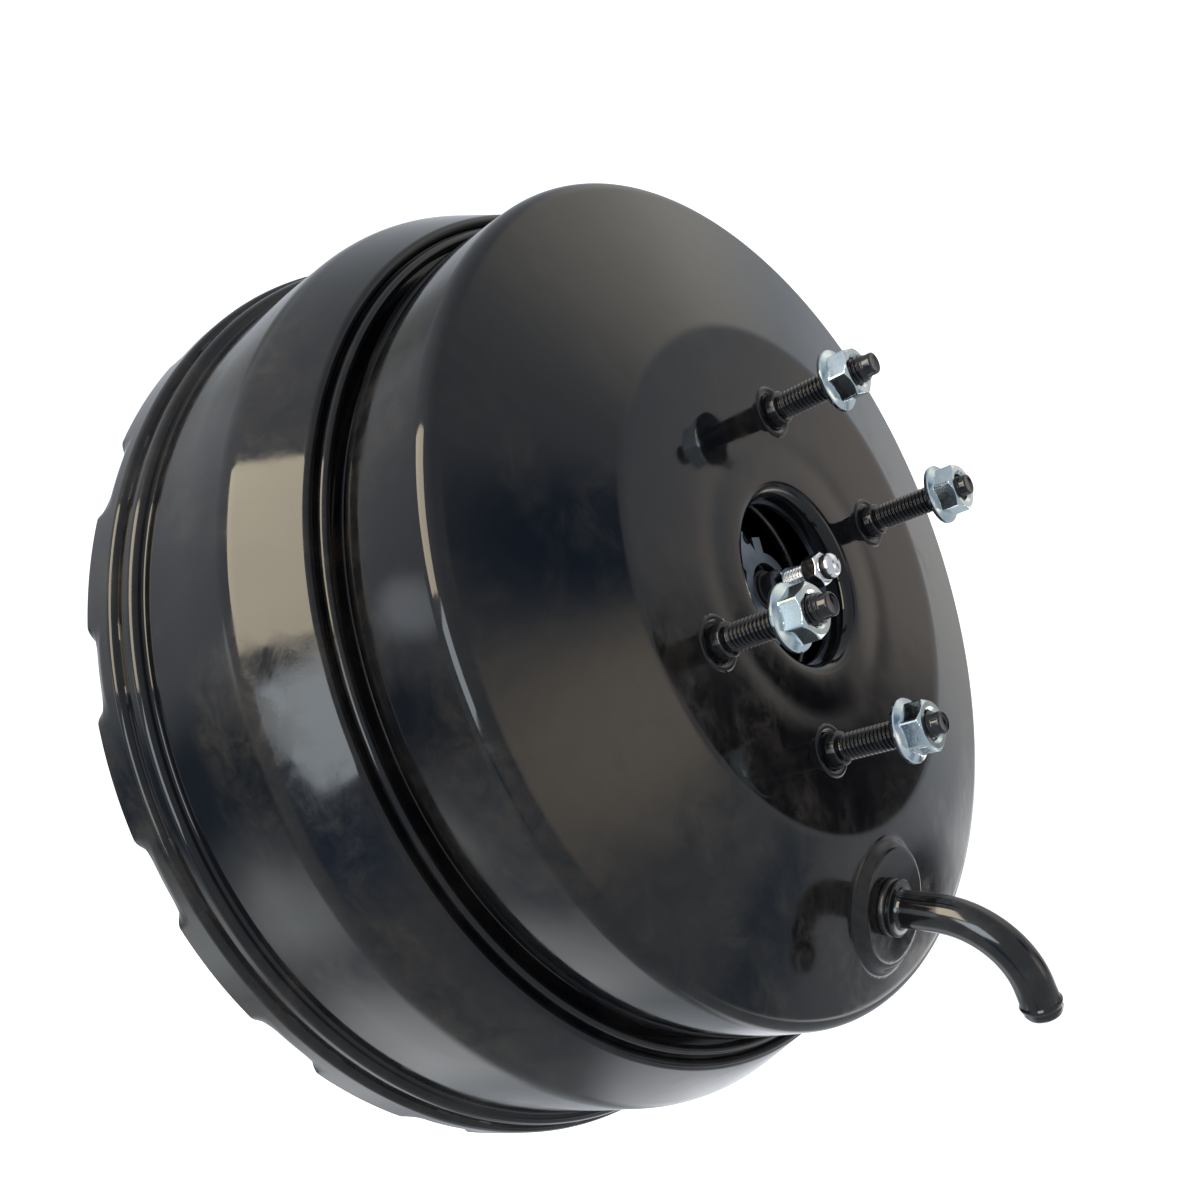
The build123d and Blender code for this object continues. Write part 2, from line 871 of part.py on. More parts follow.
def stud(sheet, length, free_from):
    # Grows along +X from its face at x = 0, with its collar in the sheet and its head behind the plate
    back = -(sheet + stud_plate_wall)
    point_x = length - stud_point_length
    return turned(
        (back - stud_head_length, 0),
        (back - stud_head_length, stud_head_r),
        (back, stud_head_r),
        (back, stud_collar_r),
        (0, stud_collar_r),
        (0, stud_shoulder_r),
        (stud_shoulder_length, stud_shoulder_r),
        (stud_shoulder_length, stud_thread_r),
        (free_from, stud_thread_r),
        (free_from, stud_free_r),
        (point_x, stud_free_r),
        (point_x + stud_free_r - stud_point_r, stud_point_r),
        (length, stud_point_r),
        (length, 0),
    )


def front_studs():
    studs = [
        Pos(pad_x, y, z) * stud(front_wall, front_stud_length, seat - nut_gap)
        for (y, z), seat in zip(front_stud_places(), nut_seats)
    ]
    return Compound(children=studs)


def rear_studs():
    free_from = rear_stud_length - stud_point_length - stud_run_out
    one = Rot(Y=180) * stud(rear_wall, rear_stud_length, free_from)
    return Compound(children=[Pos(0, y, z) * one for y, z in rear_stud_places()])


def flange_nut():
    # Seat at x = 0; the hexagon's outer corners are chamfered
    corner_r = nut_flats / 2 / cos(radians(30))
    envelope = turned(
        (0, stud_free_r + seat_gap),
        (0, nut_flange_r),
        (nut_flange, nut_flange_r),
        (nut_flange + nut_flange_slope, corner_r),
        (nut_height - nut_chamfer, corner_r),
        (nut_height, nut_flats / 2),
        (nut_height, stud_free_r + seat_gap),
    )
    skirt_end = nut_flange + nut_flange_root
    body = hexagon(nut_flange, nut_height - nut_flange, nut_flats) + rod(0, skirt_end, nut_flange_r)
    return body & envelope


def front_nuts():
    nut = flange_nut()
    nuts = [Pos(pad_x + seat, y, z) * nut for (y, z), seat in zip(front_stud_places(), nut_seats)]
    return Compound(children=nuts)


def vacuum_grommet():
    # Rubber bush with a lip on each side of the boss
    bore = elbow_r + running_gap
    profile = Polyline(
        (bore, grommet_lip),
        (grommet_r - grommet_bevel, grommet_lip),
        (grommet_r, grommet_lip - grommet_bevel),
        (grommet_r, seat_gap / 2),
        (port_hole_r - running_gap, seat_gap / 2),
        (port_hole_r - running_gap, -front_wall - seat_gap / 2),
        (grommet_r, -front_wall - seat_gap / 2),
        (port_hole_r - grommet_lead, -front_wall - grommet_hold),
        (bore, -front_wall - grommet_hold),
        close=True,
    )
    bush = revolve(Plane.XZ * make_face(profile), axis=Axis.Z)
    return port_plane() * bush


def elbow_path():
    port = port_plane()
    twist = radians(elbow_twist)
    side = port.x_dir * cos(twist) + port.y_dir * sin(twist)
    frame = Plane(origin=port.origin, x_dir=port.z_dir, z_dir=port.z_dir.cross(side))
    setback = elbow_bend * tan(radians(elbow_angle / 2))
    inner_end = -(front_wall + grommet_hold + seat_gap + elbow_barb)
    corner = elbow_straight + setback
    run = setback + elbow_end
    turn = radians(elbow_angle)
    route = FilletPolyline(
        (inner_end, 0), (corner, 0), (corner + run * cos(turn), run * sin(turn)), radius=elbow_bend
    )
    return frame * route


def vacuum_elbow():
    path = elbow_path()
    start = Plane(origin=path @ 0, z_dir=path % 0)
    end = Plane(origin=path @ 1, z_dir=path % 1)
    port = port_plane()
    low = (Align.CENTER, Align.CENTER, Align.MIN)
    pipe = sweep(start * Circle(elbow_r), path=path)
    pipe += start * Cone(elbow_r, elbow_r + elbow_barb_out, elbow_barb, align=low)
    pipe += port * Pos(0, 0, grommet_lip + seat_gap) * Cylinder(elbow_collar_r, elbow_collar, align=low)
    swell = elbow_bead_r - elbow_r
    pipe += end * Pos(0, 0, -elbow_bead_back - 2 * swell) * Cone(elbow_r, elbow_bead_r, 2 * swell, align=low)
    pipe += end * Pos(0, 0, -elbow_bead_back) * Cone(elbow_bead_r, elbow_r, 2 * swell, align=low)
    nose = Cone(elbow_r, elbow_nose_r, elbow_nose, align=low)
    pipe -= end * Pos(0, 0, -elbow_nose) * (Cylinder(2 * elbow_r, 2 * elbow_nose, align=low) - nose)
    return pipe - sweep(start * Circle(elbow_r - elbow_wall), path=path)


def valve_plunger():
    # Flange that meets the poppet, ball socket, key groove and long stem to the reaction disc
    body_r = plunger_bore_r - running_gap
    groove_back = key_x - plunger_travel - 2 * seat_gap
    groove_front = key_x + key_thickness + 2 * seat_gap
    front = chamber_x - plunger_gap
    flange_front = plunger_rear_x + plunger_flange
    waist_r = body_r - plunger_waist
    land_front = groove_front + plunger_land
    stem_x = front - plunger_stem
    guide_back = stem_x - plunger_guide
    plunger = turned(
        (plunger_rear_x, 0),
        (plunger_rear_x, plunger_seat_r),
        (flange_front, plunger_seat_r),
        (flange_front, body_r),
        (groove_back, body_r),
        (groove_back, plunger_neck_r),
        (groove_front, plunger_neck_r),
        (groove_front, body_r),
        (land_front, body_r),
        (land_front + plunger_waist, waist_r),
        (guide_back - plunger_waist, waist_r),
        (guide_back, body_r),
        (stem_x, body_r),
        (stem_x, body_r - plunger_stem_step),
        (front, body_r - plunger_stem_step),
        (front, 0),
    )
    plunger -= Pos(-ball_depth, 0, 0) * Sphere(ball_r + socket_gap)
    return plunger - rod(plunger_rear_x - 1, -ball_depth - plunger_rear_x + 1, socket_mouth_r)


def input_spring_seat_x():
    retainer_back = poppet_x - poppet_length - poppet_bead - poppet_retainer_length
    return retainer_back - 3 * running_gap - input_spring_length


def input_rod():
    # Ball end in the plunger, plain shank with a spring seat, and a thread for the clevis
    neck_end = -ball_depth - ball_neck_length
    neck_r_here = input_rod_r - ball_neck_step
    end = -input_rod_length
    thread_x = end + input_thread_length
    shank = turned(
        (-ball_depth, 0),
        (-ball_depth, neck_r_here),
        (neck_end, neck_r_here),
        (neck_end - ball_neck_step, input_rod_r),
        (thread_x, input_rod_r),
        (thread_x, input_thread_r),
        (end + input_point, input_thread_r),
        (end, input_thread_r - input_point),
        (end, 0),
    )
    seat_back = input_spring_seat_x() - spring_seat_length
    seat = ring(seat_back, spring_seat_length, input_spring_r + spring_seat_margin, input_rod_r - input_point)
    return Pos(-ball_depth, 0, 0) * Sphere(ball_r) + shank + seat


def poppet_valve():
    # Rubber valve: facing disc, thin neck and the bead that is held in the bore
    disc_back = poppet_x - poppet_thickness
    bead_front = poppet_x - poppet_length
    bead_back = bead_front - poppet_bead
    bead_r = tail_bore_r - seat_gap
    return turned(
        (poppet_x, poppet_inner_r),
        (poppet_x, poppet_r),
        (disc_back, poppet_r),
        (disc_back, poppet_neck_r),
        (bead_front, poppet_neck_r),
        (bead_front, bead_r),
        (bead_back, bead_r),
        (bead_back, poppet_neck_bore_r),
        (disc_back - poppet_face, poppet_neck_bore_r),
        (disc_back - poppet_face, poppet_inner_r),
    )


def poppet_spring():
    back = poppet_x - poppet_length + seat_gap
    length = poppet_length - poppet_thickness - 2 * seat_gap
    return helix_spring(back, length, poppet_spring_r, poppet_wire_r, poppet_turns)


def poppet_retainer():
    back = poppet_x - poppet_length - poppet_bead - running_gap - poppet_retainer_length
    inner = poppet_neck_bore_r + poppet_retainer_step
    return ring(back, poppet_retainer_length, tail_bore_r - running_gap, inner)


def input_return_spring():
    back = input_spring_seat_x() + seat_gap
    return helix_spring(back, input_spring_length - seat_gap, input_spring_r, input_wire_r, input_turns)


def filter_back():
    return -tail_length + filter_cap + seat_gap


def silencer():
    return ring(filter_back(), silencer_length, tail_bore_r - seat_gap, filter_hole_r)


def air_filter():
    x = filter_back() + silencer_length + seat_gap
    return ring(x, filter_length, tail_bore_r - seat_gap, filter_hole_r)


def filter_retainer():
    # Spoked cap that lets air in round the input rod
    cap = ring(-tail_length, filter_cap, tail_bore_r - running_gap, filter_hole_r)
    middle_r = (tail_bore_r + filter_hole_r) / 2
    vent = Pos(0, middle_r, 0) * rod(-tail_length - 1, filter_cap + 2, filter_vent_r)
    for step in range(filter_vent_count):
        cap -= at_angle(step * 360 / filter_vent_count) * vent
    return cap


def boot():
    # Bellows from the neck's outside to the input rod
    grip_r = neck_r + seat_gap
    grip_end = -neck_length - boot_start
    corners = [(grip_end + boot_grip, grip_r), (grip_end, grip_r, boot_grip_bend)]
    valley_bend = boot_wall + inside_bend
    for fold in range(boot_folds):
        crest_x = grip_end - (fold + 0.5) * boot_fold_pitch
        corners.append((crest_x, boot_crest, boot_crest_bend))
        corners.append((crest_x - boot_fold_pitch / 2, boot_valley, valley_bend))
    tail_x = grip_end - boot_folds * boot_fold_pitch
    rod_grip_r = input_rod_r + seat_gap
    corners.append((tail_x - boot_tail_flat, boot_valley, boot_tail_bend))
    corners.append((tail_x - boot_tail_length, rod_grip_r, valley_bend))
    corners.append((tail_x - boot_tail_length - boot_rod_grip, rod_grip_r))
    return pressing(corners, boot_wall, Side.RIGHT)


def clevis_front():
    return -input_rod_length + clevis_base + clevis_overrun


def clevis():
    # Fork for the pedal's pin
    front = clevis_front()
    arm_back = front - clevis_length
    block = Pos(front - clevis_length / 2, 0, 0) * Box(clevis_length, clevis_width, clevis_height)
    ends = block.edges().filter_by(Axis.Y).sort_by(Axis.X)[:2]
    block = fillet(ends, (clevis_height - clevis_flat) / 2)
    slot_length = clevis_length - clevis_base
    block -= Pos(arm_back + slot_length / 2, 0, 0) * Box(slot_length, clevis_slot, 2 * clevis_height)
    block -= rod(arm_back, clevis_length + 1, input_thread_r + running_gap)
    pin_hole = Rot(X=90) * Cylinder(clevis_pin_r, 2 * clevis_width)
    return block - Pos(arm_back + clevis_pin_back, 0, 0) * pin_hole


def clevis_lock_nut():
    x = clevis_front() + seat_gap / 2
    nut = hexagon(x, lock_nut_length, lock_nut_flats)
    return nut - rod(x - 1, lock_nut_length + 2, input_thread_r + running_gap)


parts = [
    front_shell,
    rear_shell,
    center_plate,
    center_hub_seal,
    front_diaphragm,
    rear_diaphragm,
    front_piston_plate,
    rear_piston_plate,
    front_plate_retainer,
    rear_plate_retainer,
    valve_body,
    stop_key,
    rear_guide_bearing,
    rear_seal,
    rear_seal_retainer,
    return_spring,
    reaction_disc,
    output_rod,
    rod_retainer,
    rod_collar,
    output_rod_tip,
    rod_guide,
    front_stud_plate,
    rear_stud_plate,
    front_studs,
    front_nuts,
    rear_studs,
    vacuum_grommet,
    vacuum_elbow,
    valve_plunger,
    input_rod,
    poppet_valve,
    poppet_spring,
    poppet_retainer,
    input_return_spring,
    silencer,
    air_filter,
    filter_retainer,
    boot,
    clevis,
    clevis_lock_nut,
]

for part in parts:
    export_step(part(), f"parts/{part.__name__}.step")
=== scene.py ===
import json
import math
import bmesh
import bpy
import numpy as np
from mathutils import Matrix, Vector


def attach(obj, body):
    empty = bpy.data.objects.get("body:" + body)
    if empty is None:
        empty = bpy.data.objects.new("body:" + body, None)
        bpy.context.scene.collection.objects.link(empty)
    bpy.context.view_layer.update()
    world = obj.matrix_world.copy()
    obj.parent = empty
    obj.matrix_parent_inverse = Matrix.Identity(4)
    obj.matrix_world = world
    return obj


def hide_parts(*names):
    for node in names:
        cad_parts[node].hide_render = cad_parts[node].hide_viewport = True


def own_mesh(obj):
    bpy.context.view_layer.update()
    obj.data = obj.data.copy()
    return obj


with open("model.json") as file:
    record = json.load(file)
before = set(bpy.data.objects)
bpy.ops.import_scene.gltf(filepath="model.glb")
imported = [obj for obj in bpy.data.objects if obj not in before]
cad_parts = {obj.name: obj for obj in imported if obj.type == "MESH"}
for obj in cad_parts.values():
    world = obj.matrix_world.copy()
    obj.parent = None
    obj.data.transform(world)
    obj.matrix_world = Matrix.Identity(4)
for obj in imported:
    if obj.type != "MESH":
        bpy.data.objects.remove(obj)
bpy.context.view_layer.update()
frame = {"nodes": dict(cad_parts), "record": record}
nodes = frame["nodes"]
mm = 0.001

# Where the shells' skins run, shared by the pieces that sit on them. Sizes in millimetres.
booster = {
    "padX": 160.0,
    "padR": 75.7,
    "rimX": 146.1,
    "rimR": 126.5,
    "flangeX": 44.5,
    "flangeR": 150.0,
    "frontWall": 1.6,
    "rearWall": 1.8,
    "studY": 44.0,
    "studZ": 26.15,
    "studHoleR": 5.3,
}
coneSlope = (booster["padX"] - booster["rimX"]) / (booster["rimR"] - booster["padR"])


# Mesh helpers
def meshObject(name, points, faces, sharpAngle=35):
    mesh = bpy.data.meshes.new(name)
    scaled = [tuple(float(c) * mm for c in p) for p in points]
    mesh.from_pydata(scaled, [], [tuple(f) for f in faces])
    mesh.validate()
    mesh.shade_smooth()
    mesh.set_sharp_from_angle(angle=math.radians(sharpAngle))
    obj = bpy.data.objects.new(name, mesh)
    bpy.context.scene.collection.objects.link(obj)
    return obj


def filleted(corners, sag=0.012):
    # Points along straight runs through (x, r, bend) corners, with each bend as an arc
    points = [np.array(corners[0][:2], float)]
    for i in range(1, len(corners) - 1):
        before = np.array(corners[i - 1][:2], float)
        here = np.array(corners[i][:2], float)
        after = np.array(corners[i + 1][:2], float)
        bend = corners[i][2]
        into = (before - here) / np.linalg.norm(before - here)
        out = (after - here) / np.linalg.norm(after - here)
        half = math.acos(max(-1, min(1, float(into @ out)))) / 2
        turn = math.pi - 2 * half
        reach = bend / math.tan(half)
        centre = here + (into + out) / np.linalg.norm(into + out) * bend / math.sin(half)
        first = here + into * reach - centre
        last = here + out * reach - centre
        steps = max(2, math.ceil(turn / (2 * math.acos(1 - sag / bend))))
        for k in range(steps + 1):
            t = k / steps
            weight = np.array([math.sin((1 - t) * turn), math.sin(t * turn)]) / math.sin(turn)
            points.append(centre + weight[0] * first + weight[1] * last)
    points.append(np.array(corners[-1][:2], float))
    return np.array(points)


def leftOf(points, distance):
    # The same line moved to its left
    step = np.gradient(points, axis=0)
    step /= np.linalg.norm(step, axis=1, keepdims=True)
    return points + distance * np.stack([-step[:, 1], step[:, 0]], 1)


def turnedPoints(profile, angles):
    # Rings of points round the X axis, one per profile point
    x = np.repeat(profile[:, 0], len(angles))
    r = np.repeat(profile[:, 1], len(angles))
    a = np.tile(angles, len(profile))
    return np.stack([x, r * np.cos(a), r * np.sin(a)], 1)


def ringFaces(rows, count, closed):
    faces = []
    for i in range(rows if closed else rows - 1):
        low = i * count
        high = ((i + 1) % rows) * count
        for j in range(count):
            k = (j + 1) % count
            faces.append((low + j, low + k, high + k, high + j))
    return faces


def turned(name, profile, count=128, sharpAngle=35):
    # Ring turned from a closed profile that runs anticlockwise, with x to the right and r up
    angles = np.linspace(0, 2 * math.pi, count, endpoint=False)
    profile = np.array(profile, float)
    faces = [tuple(reversed(f)) for f in ringFaces(len(profile), count, True)]
    return meshObject(name, turnedPoints(profile, angles), faces, sharpAngle)


def stackedRings(rows, columns):
    # rows are (x, radius or one radius per column)
    angles = np.linspace(0, 2 * math.pi, columns, endpoint=False)
    points = []
    for x, radius in rows:
        r = np.broadcast_to(radius, angles.shape)
        points.append(np.stack([np.full(columns, x), r * np.cos(angles), r * np.sin(angles)], 1))
    return np.concatenate(points)


def radialSolid(name, rows, columns, sharpAngle=35):
    # Solid from rings with x rising; both ends get a flat cap
    faces = ringFaces(len(rows), columns, False)
    faces.append(tuple(reversed(range(columns))))
    faces.append(tuple(range((len(rows) - 1) * columns, len(rows) * columns)))
    return meshObject(name, stackedRings(rows, columns), faces, sharpAngle)


def sheetProfile(corners, wall):
    # Closed outline of a sheet: the outer skin, then the inner one back again, plainer
    inner = leftOf(filleted(corners, 0.08), wall)
    return np.concatenate([filleted(corners), inner[::-1]])


# Material helpers. The mix node's colour sockets go by number.
mixFirst, mixSecond, mixResult = 6, 7, 2


def newMaterial(name, **sockets):
    material = bpy.data.materials.new(name)
    material.use_nodes = True
    shader = material.node_tree.nodes["Principled BSDF"]
    for socket, value in sockets.items():
        shader.inputs[socket.replace("_", " ")].default_value = value
    return material, material.node_tree, shader


def objectNoise(tree, scale, detail=3.0, rough=0.55, distortion=0.0):
    place = tree.nodes.new("ShaderNodeTexCoord")
    noise = tree.nodes.new("ShaderNodeTexNoise")
    noise.inputs["Scale"].default_value = scale
    noise.inputs["Detail"].default_value = detail
    noise.inputs["Roughness"].default_value = rough
    noise.inputs["Distortion"].default_value = distortion
    tree.links.new(place.outputs["Object"], noise.inputs["Vector"])
    return noise.outputs["Fac"]


def ranged(tree, value, fromLow, fromHigh, toLow, toHigh):
    remap = tree.nodes.new("ShaderNodeMapRange")
    remap.inputs["From Min"].default_value = fromLow
    remap.inputs["From Max"].default_value = fromHigh
    remap.inputs["To Min"].default_value = toLow
    remap.inputs["To Max"].default_value = toHigh
    tree.links.new(value, remap.inputs["Value"])
    return remap.outputs["Result"]


def blended(tree, factor, first, second):
    mix = tree.nodes.new("ShaderNodeMix")
    mix.data_type = "RGBA"
    tree.links.new(factor, mix.inputs["Factor"])
    mix.inputs[mixFirst].default_value = (*first, 1)
    mix.inputs[mixSecond].default_value = (*second, 1)
    return mix.outputs[mixResult]


def tinted(tree, shader, factor, first, second):
    tree.links.new(blended(tree, factor, first, second), shader.inputs["Base Color"])


def glossed(tree, shader, value, fromLow, fromHigh, low, high):
    gloss = ranged(tree, value, fromLow, fromHigh, low, high)
    tree.links.new(gloss, shader.inputs["Roughness"])


def bumped(tree, shader, height, strength, distance):
    bump = tree.nodes.new("ShaderNodeBump")
    bump.inputs["Strength"].default_value = strength
    bump.inputs["Distance"].default_value = distance
    tree.links.new(height, bump.inputs["Height"])
    tree.links.new(bump.outputs["Normal"], shader.inputs["Normal"])


def multiplied(tree, first, second):
    product = tree.nodes.new("ShaderNodeMath")
    product.operation = "MULTIPLY"
    tree.links.new(first, product.inputs[0])
    tree.links.new(second, product.inputs[1])
    return product.outputs["Value"]


# Finishes of the slots, and the CAD nodes dressed in them
def glossBlackPaint():
    # Dipped black paint: deep gloss, a film of dust and oil in patches, and a slightly wavy surface
    material, tree, shader = newMaterial("glossBlackPaint", IOR=1.4)
    film = ranged(tree, objectNoise(tree, 16.0, 6.0, 0.6, distortion=0.8), 0.42, 0.62, 0.0, 1.0)
    mottle = ranged(tree, objectNoise(tree, 85.0, 6.0, 0.7, distortion=0.5), 0.36, 0.66, 0.0, 1.0)
    specks = ranged(tree, objectNoise(tree, 330.0, 4.0, 0.6), 0.5, 0.72, 0.0, 1.0)
    patches = multiplied(tree, film, mottle)
    tinted(tree, shader, patches, (0.003, 0.0033, 0.0045), (0.0165, 0.0145, 0.0125))
    glossed(tree, shader, patches, 0.0, 1.0, 0.05, 0.26)
    wave = objectNoise(tree, 60.0, 2.0)
    relief = tree.nodes.new("ShaderNodeMath")
    relief.operation = "MULTIPLY_ADD"
    tree.links.new(multiplied(tree, specks, patches), relief.inputs[0])
    relief.inputs[1].default_value = 0.12
    tree.links.new(wave, relief.inputs[2])
    bumped(tree, shader, relief.outputs["Value"], 0.06, 0.001)
    return material


def glossBlackStud():
    material, tree, shader = newMaterial("glossBlackStud", IOR=1.5)
    wear = objectNoise(tree, 400.0, 4.0, 0.6)
    worn = ranged(tree, wear, 0.55, 0.75, 0, 1)
    tinted(tree, shader, worn, (0.003, 0.003, 0.004), (0.014, 0.014, 0.015))
    glossed(tree, shader, wear, 0.3, 0.7, 0.07, 0.16)
    return material


def glossBlackPipe():
    # Moulded pipe, smooth and shiny, with a little grease
    material, tree, shader = newMaterial("glossBlackPipe", IOR=1.5)
    grease = objectNoise(tree, 120.0, 4.0, 0.6)
    smeared = ranged(tree, grease, 0.45, 0.7, 0, 1)
    tinted(tree, shader, smeared, (0.003, 0.003, 0.0035), (0.012, 0.012, 0.012))
    glossed(tree, shader, grease, 0.35, 0.7, 0.06, 0.16)
    bumped(tree, shader, objectNoise(tree, 160.0, 2.0), 0.06, 0.0006)
    return material


def platedMetal(name, low, high, roughLow, roughHigh, scale=180.0):
    # Plated or machined metal with a soft drift in colour and gloss
    material, tree, shader = newMaterial(name, Metallic=1.0)
    drift = objectNoise(tree, scale, 4.0, 0.6)
    tinted(tree, shader, ranged(tree, drift, 0.35, 0.65, 0, 1), low, high)
    grain = objectNoise(tree, scale * 4, 3.0, 0.7)
    glossed(tree, shader, grain, 0.3, 0.7, roughLow, roughHigh)
    bumped(tree, shader, grain, 0.08, 0.0002)
    return material


def softMaterial(name, low, high, rough, scale, bump, bumpDepth):
    # Rubber, moulded plastic, felt or foam: fine grain over a slow drift in tone
    material, tree, shader = newMaterial(name)
    drift = objectNoise(tree, scale, 3.0, 0.6)
    tinted(tree, shader, ranged(tree, drift, 0.3, 0.7, 0, 1), low, high)
    glossed(tree, shader, drift, 0.3, 0.7, rough * 0.8, min(1.0, rough * 1.15))
    bumped(tree, shader, objectNoise(tree, scale * 12, 2.0), bump, bumpDepth)
    return material


finishes = {
    "black_steel": glossBlackPaint(),
    "black_stud": glossBlackStud(),
    "black_pipe": glossBlackPipe(),
    # Pressed steel inside the shell, its tone darkened as painted shade for the dim inside of the
    # booster
    "plain_steel": platedMetal(
        "darkPressedSteel", (0.03, 0.03, 0.032), (0.06, 0.06, 0.062),
        0.35, 0.55,
    ),
    "spring_steel": platedMetal("springSteel", (0.10, 0.10, 0.105), (0.18, 0.18, 0.185), 0.25, 0.4),
    "dark_rod": softMaterial(
        "blackOxide", (0.010, 0.010, 0.012), (0.022, 0.022, 0.024),
        0.3, 150.0, 0.05, 0.0002,
    ),
    "bright_zinc": platedMetal("brightZinc", (0.44, 0.53, 0.56), (0.60, 0.67, 0.69), 0.09, 0.18),
    "bright_steel": platedMetal(
        "machinedSteel", (0.62, 0.62, 0.63), (0.82, 0.82, 0.82),
        0.12, 0.22,
    ),
    # Bluish zinc sheet with its tone darkened well below zinc as painted shade for the shade inside
    # the mouth
    "zinc_sheet": platedMetal("zincSheet", (0.16, 0.19, 0.23), (0.24, 0.27, 0.32), 0.3, 0.42, 60.0),
    "phenolic": softMaterial(
        "mouldedResin", (0.012, 0.011, 0.010), (0.022, 0.020, 0.018),
        0.45, 120.0, 0.1, 0.0003,
    ),
    "nylon": softMaterial(
        "naturalNylon", (0.50, 0.48, 0.42), (0.62, 0.60, 0.54),
        0.5, 120.0, 0.1, 0.0003,
    ),
    "seal_rubber": softMaterial(
        "sealRubber", (0.010, 0.010, 0.010), (0.020, 0.020, 0.020),
        0.6, 140.0, 0.15, 0.0003,
    ),
    "grommet_rubber": softMaterial(
        "grommetRubber", (0.006, 0.006, 0.007), (0.012, 0.012, 0.013),
        0.28, 140.0, 0.08, 0.0002,
    ),
    "boot_rubber": softMaterial(
        "bootRubber", (0.012, 0.012, 0.013), (0.028, 0.028, 0.029),
        0.55, 90.0, 0.2, 0.0004,
    ),
    "felt": softMaterial("felt", (0.22, 0.21, 0.20), (0.34, 0.33, 0.31), 0.95, 200.0, 0.6, 0.0008),
    "foam": softMaterial(
        "openFoam", (0.04, 0.04, 0.04), (0.10, 0.10, 0.10),
        0.95, 260.0, 0.8, 0.0010,
    ),
}
slotOf = {entry["node"]: entry["material_slot"] for entry in frame["record"]["subparts"]}
for nodeName, node in nodes.items():
    node.data.materials.clear()
    node.data.materials.append(finishes[slotOf[nodeName]])
print("finishes ready:", len(finishes))


def dress(piece, body, *replaced):
    # Gives a finished piece the material of the node it stands for, and its body
    slotName = slotOf[replaced[0]]
    if not piece.data.materials:
        piece.data.materials.append(finishes[slotName])
    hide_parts(*replaced)
    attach(piece, body)
    return piece


# Front shell
boss = {
    "angle": -134.6,
    "reach": 97.8,
    "height": 3.0,
    "flatR": 16.6,
    "footR": 20.6,
    "portOut": -0.8,
    "portSide": -3.4,
    "holeR": 7.4,
}


def bossFrame():
    # Origin on the cone under the boss; columns are down the cone, sideways, and out of the shell
    out = math.radians(boss["angle"])
    tilt = math.atan(coneSlope)
    radial = np.array([0, math.cos(out), math.sin(out)])
    forward = np.array([1.0, 0, 0])
    normal = math.cos(tilt) * forward + math.sin(tilt) * radial
    down = -math.sin(tilt) * forward + math.cos(tilt) * radial
    side = np.cross(normal, down)
    coneX = booster["padX"] - (boss["reach"] - booster["padR"]) * coneSlope
    foot = boss["reach"] * radial + coneX * forward
    return foot, down, side, normal


def portOrigin():
    foot, down, side, normal = bossFrame()
    return foot + normal * boss["height"] + down * boss["portOut"] + side * boss["portSide"]


def unevenAngles(base, fine, middle, halfWidth):
    # Even steps all round, with finer ones in the sector that holds the boss
    low, high = middle - halfWidth, middle + halfWidth
    inner = np.linspace(low, high, fine, endpoint=False)
    outer = np.linspace(high, low + 2 * math.pi, base, endpoint=False)
    return np.concatenate([inner, outer])


shellBends = {
    "mouthR": 25.2,
    "mouthBack": 153.0,
    "seamFrontX": 115.2,
    "seamBackX": 110.0,
    "seamR": 122.5,
    "shoulderX": 112.4,
    "shoulderR": 133.3,
    "creaseX": 90.6,
    "lowerR": 144.2,
    "stepX": 51.5,
    "stepR": 147.8,
    "dishR": 40.0,
    "dishWidth": 4.5,
    "dishDepth": 0.25,
}


def shellOuterCorners():
    s = shellBends
    return [
        (s["mouthBack"], s["mouthR"]),
        (booster["padX"], s["mouthR"], 4.0),
        (booster["padX"], booster["padR"], 11.0),
        (booster["rimX"], booster["rimR"], 5.0),
        (s["seamFrontX"], booster["rimR"], 2.4),
        (s["seamFrontX"], s["seamR"], 1.0),
        (s["seamBackX"], s["seamR"], 1.0),
        (s["seamBackX"], s["shoulderR"] - 2.16, 0.5),
        (s["shoulderX"], s["shoulderR"], 1.9),
        (s["creaseX"], s["lowerR"], 14.0),
        (s["stepX"], s["lowerR"], 1.0),
        (s["stepX"], s["stepR"], 2.2),
        (booster["flangeX"] + 3.0, s["stepR"]),
    ]


# Spacing of the shell's rings in millimetres
ringPitch = {"cone": 0.9, "pad": 2.2, "elsewhere": 12.0}


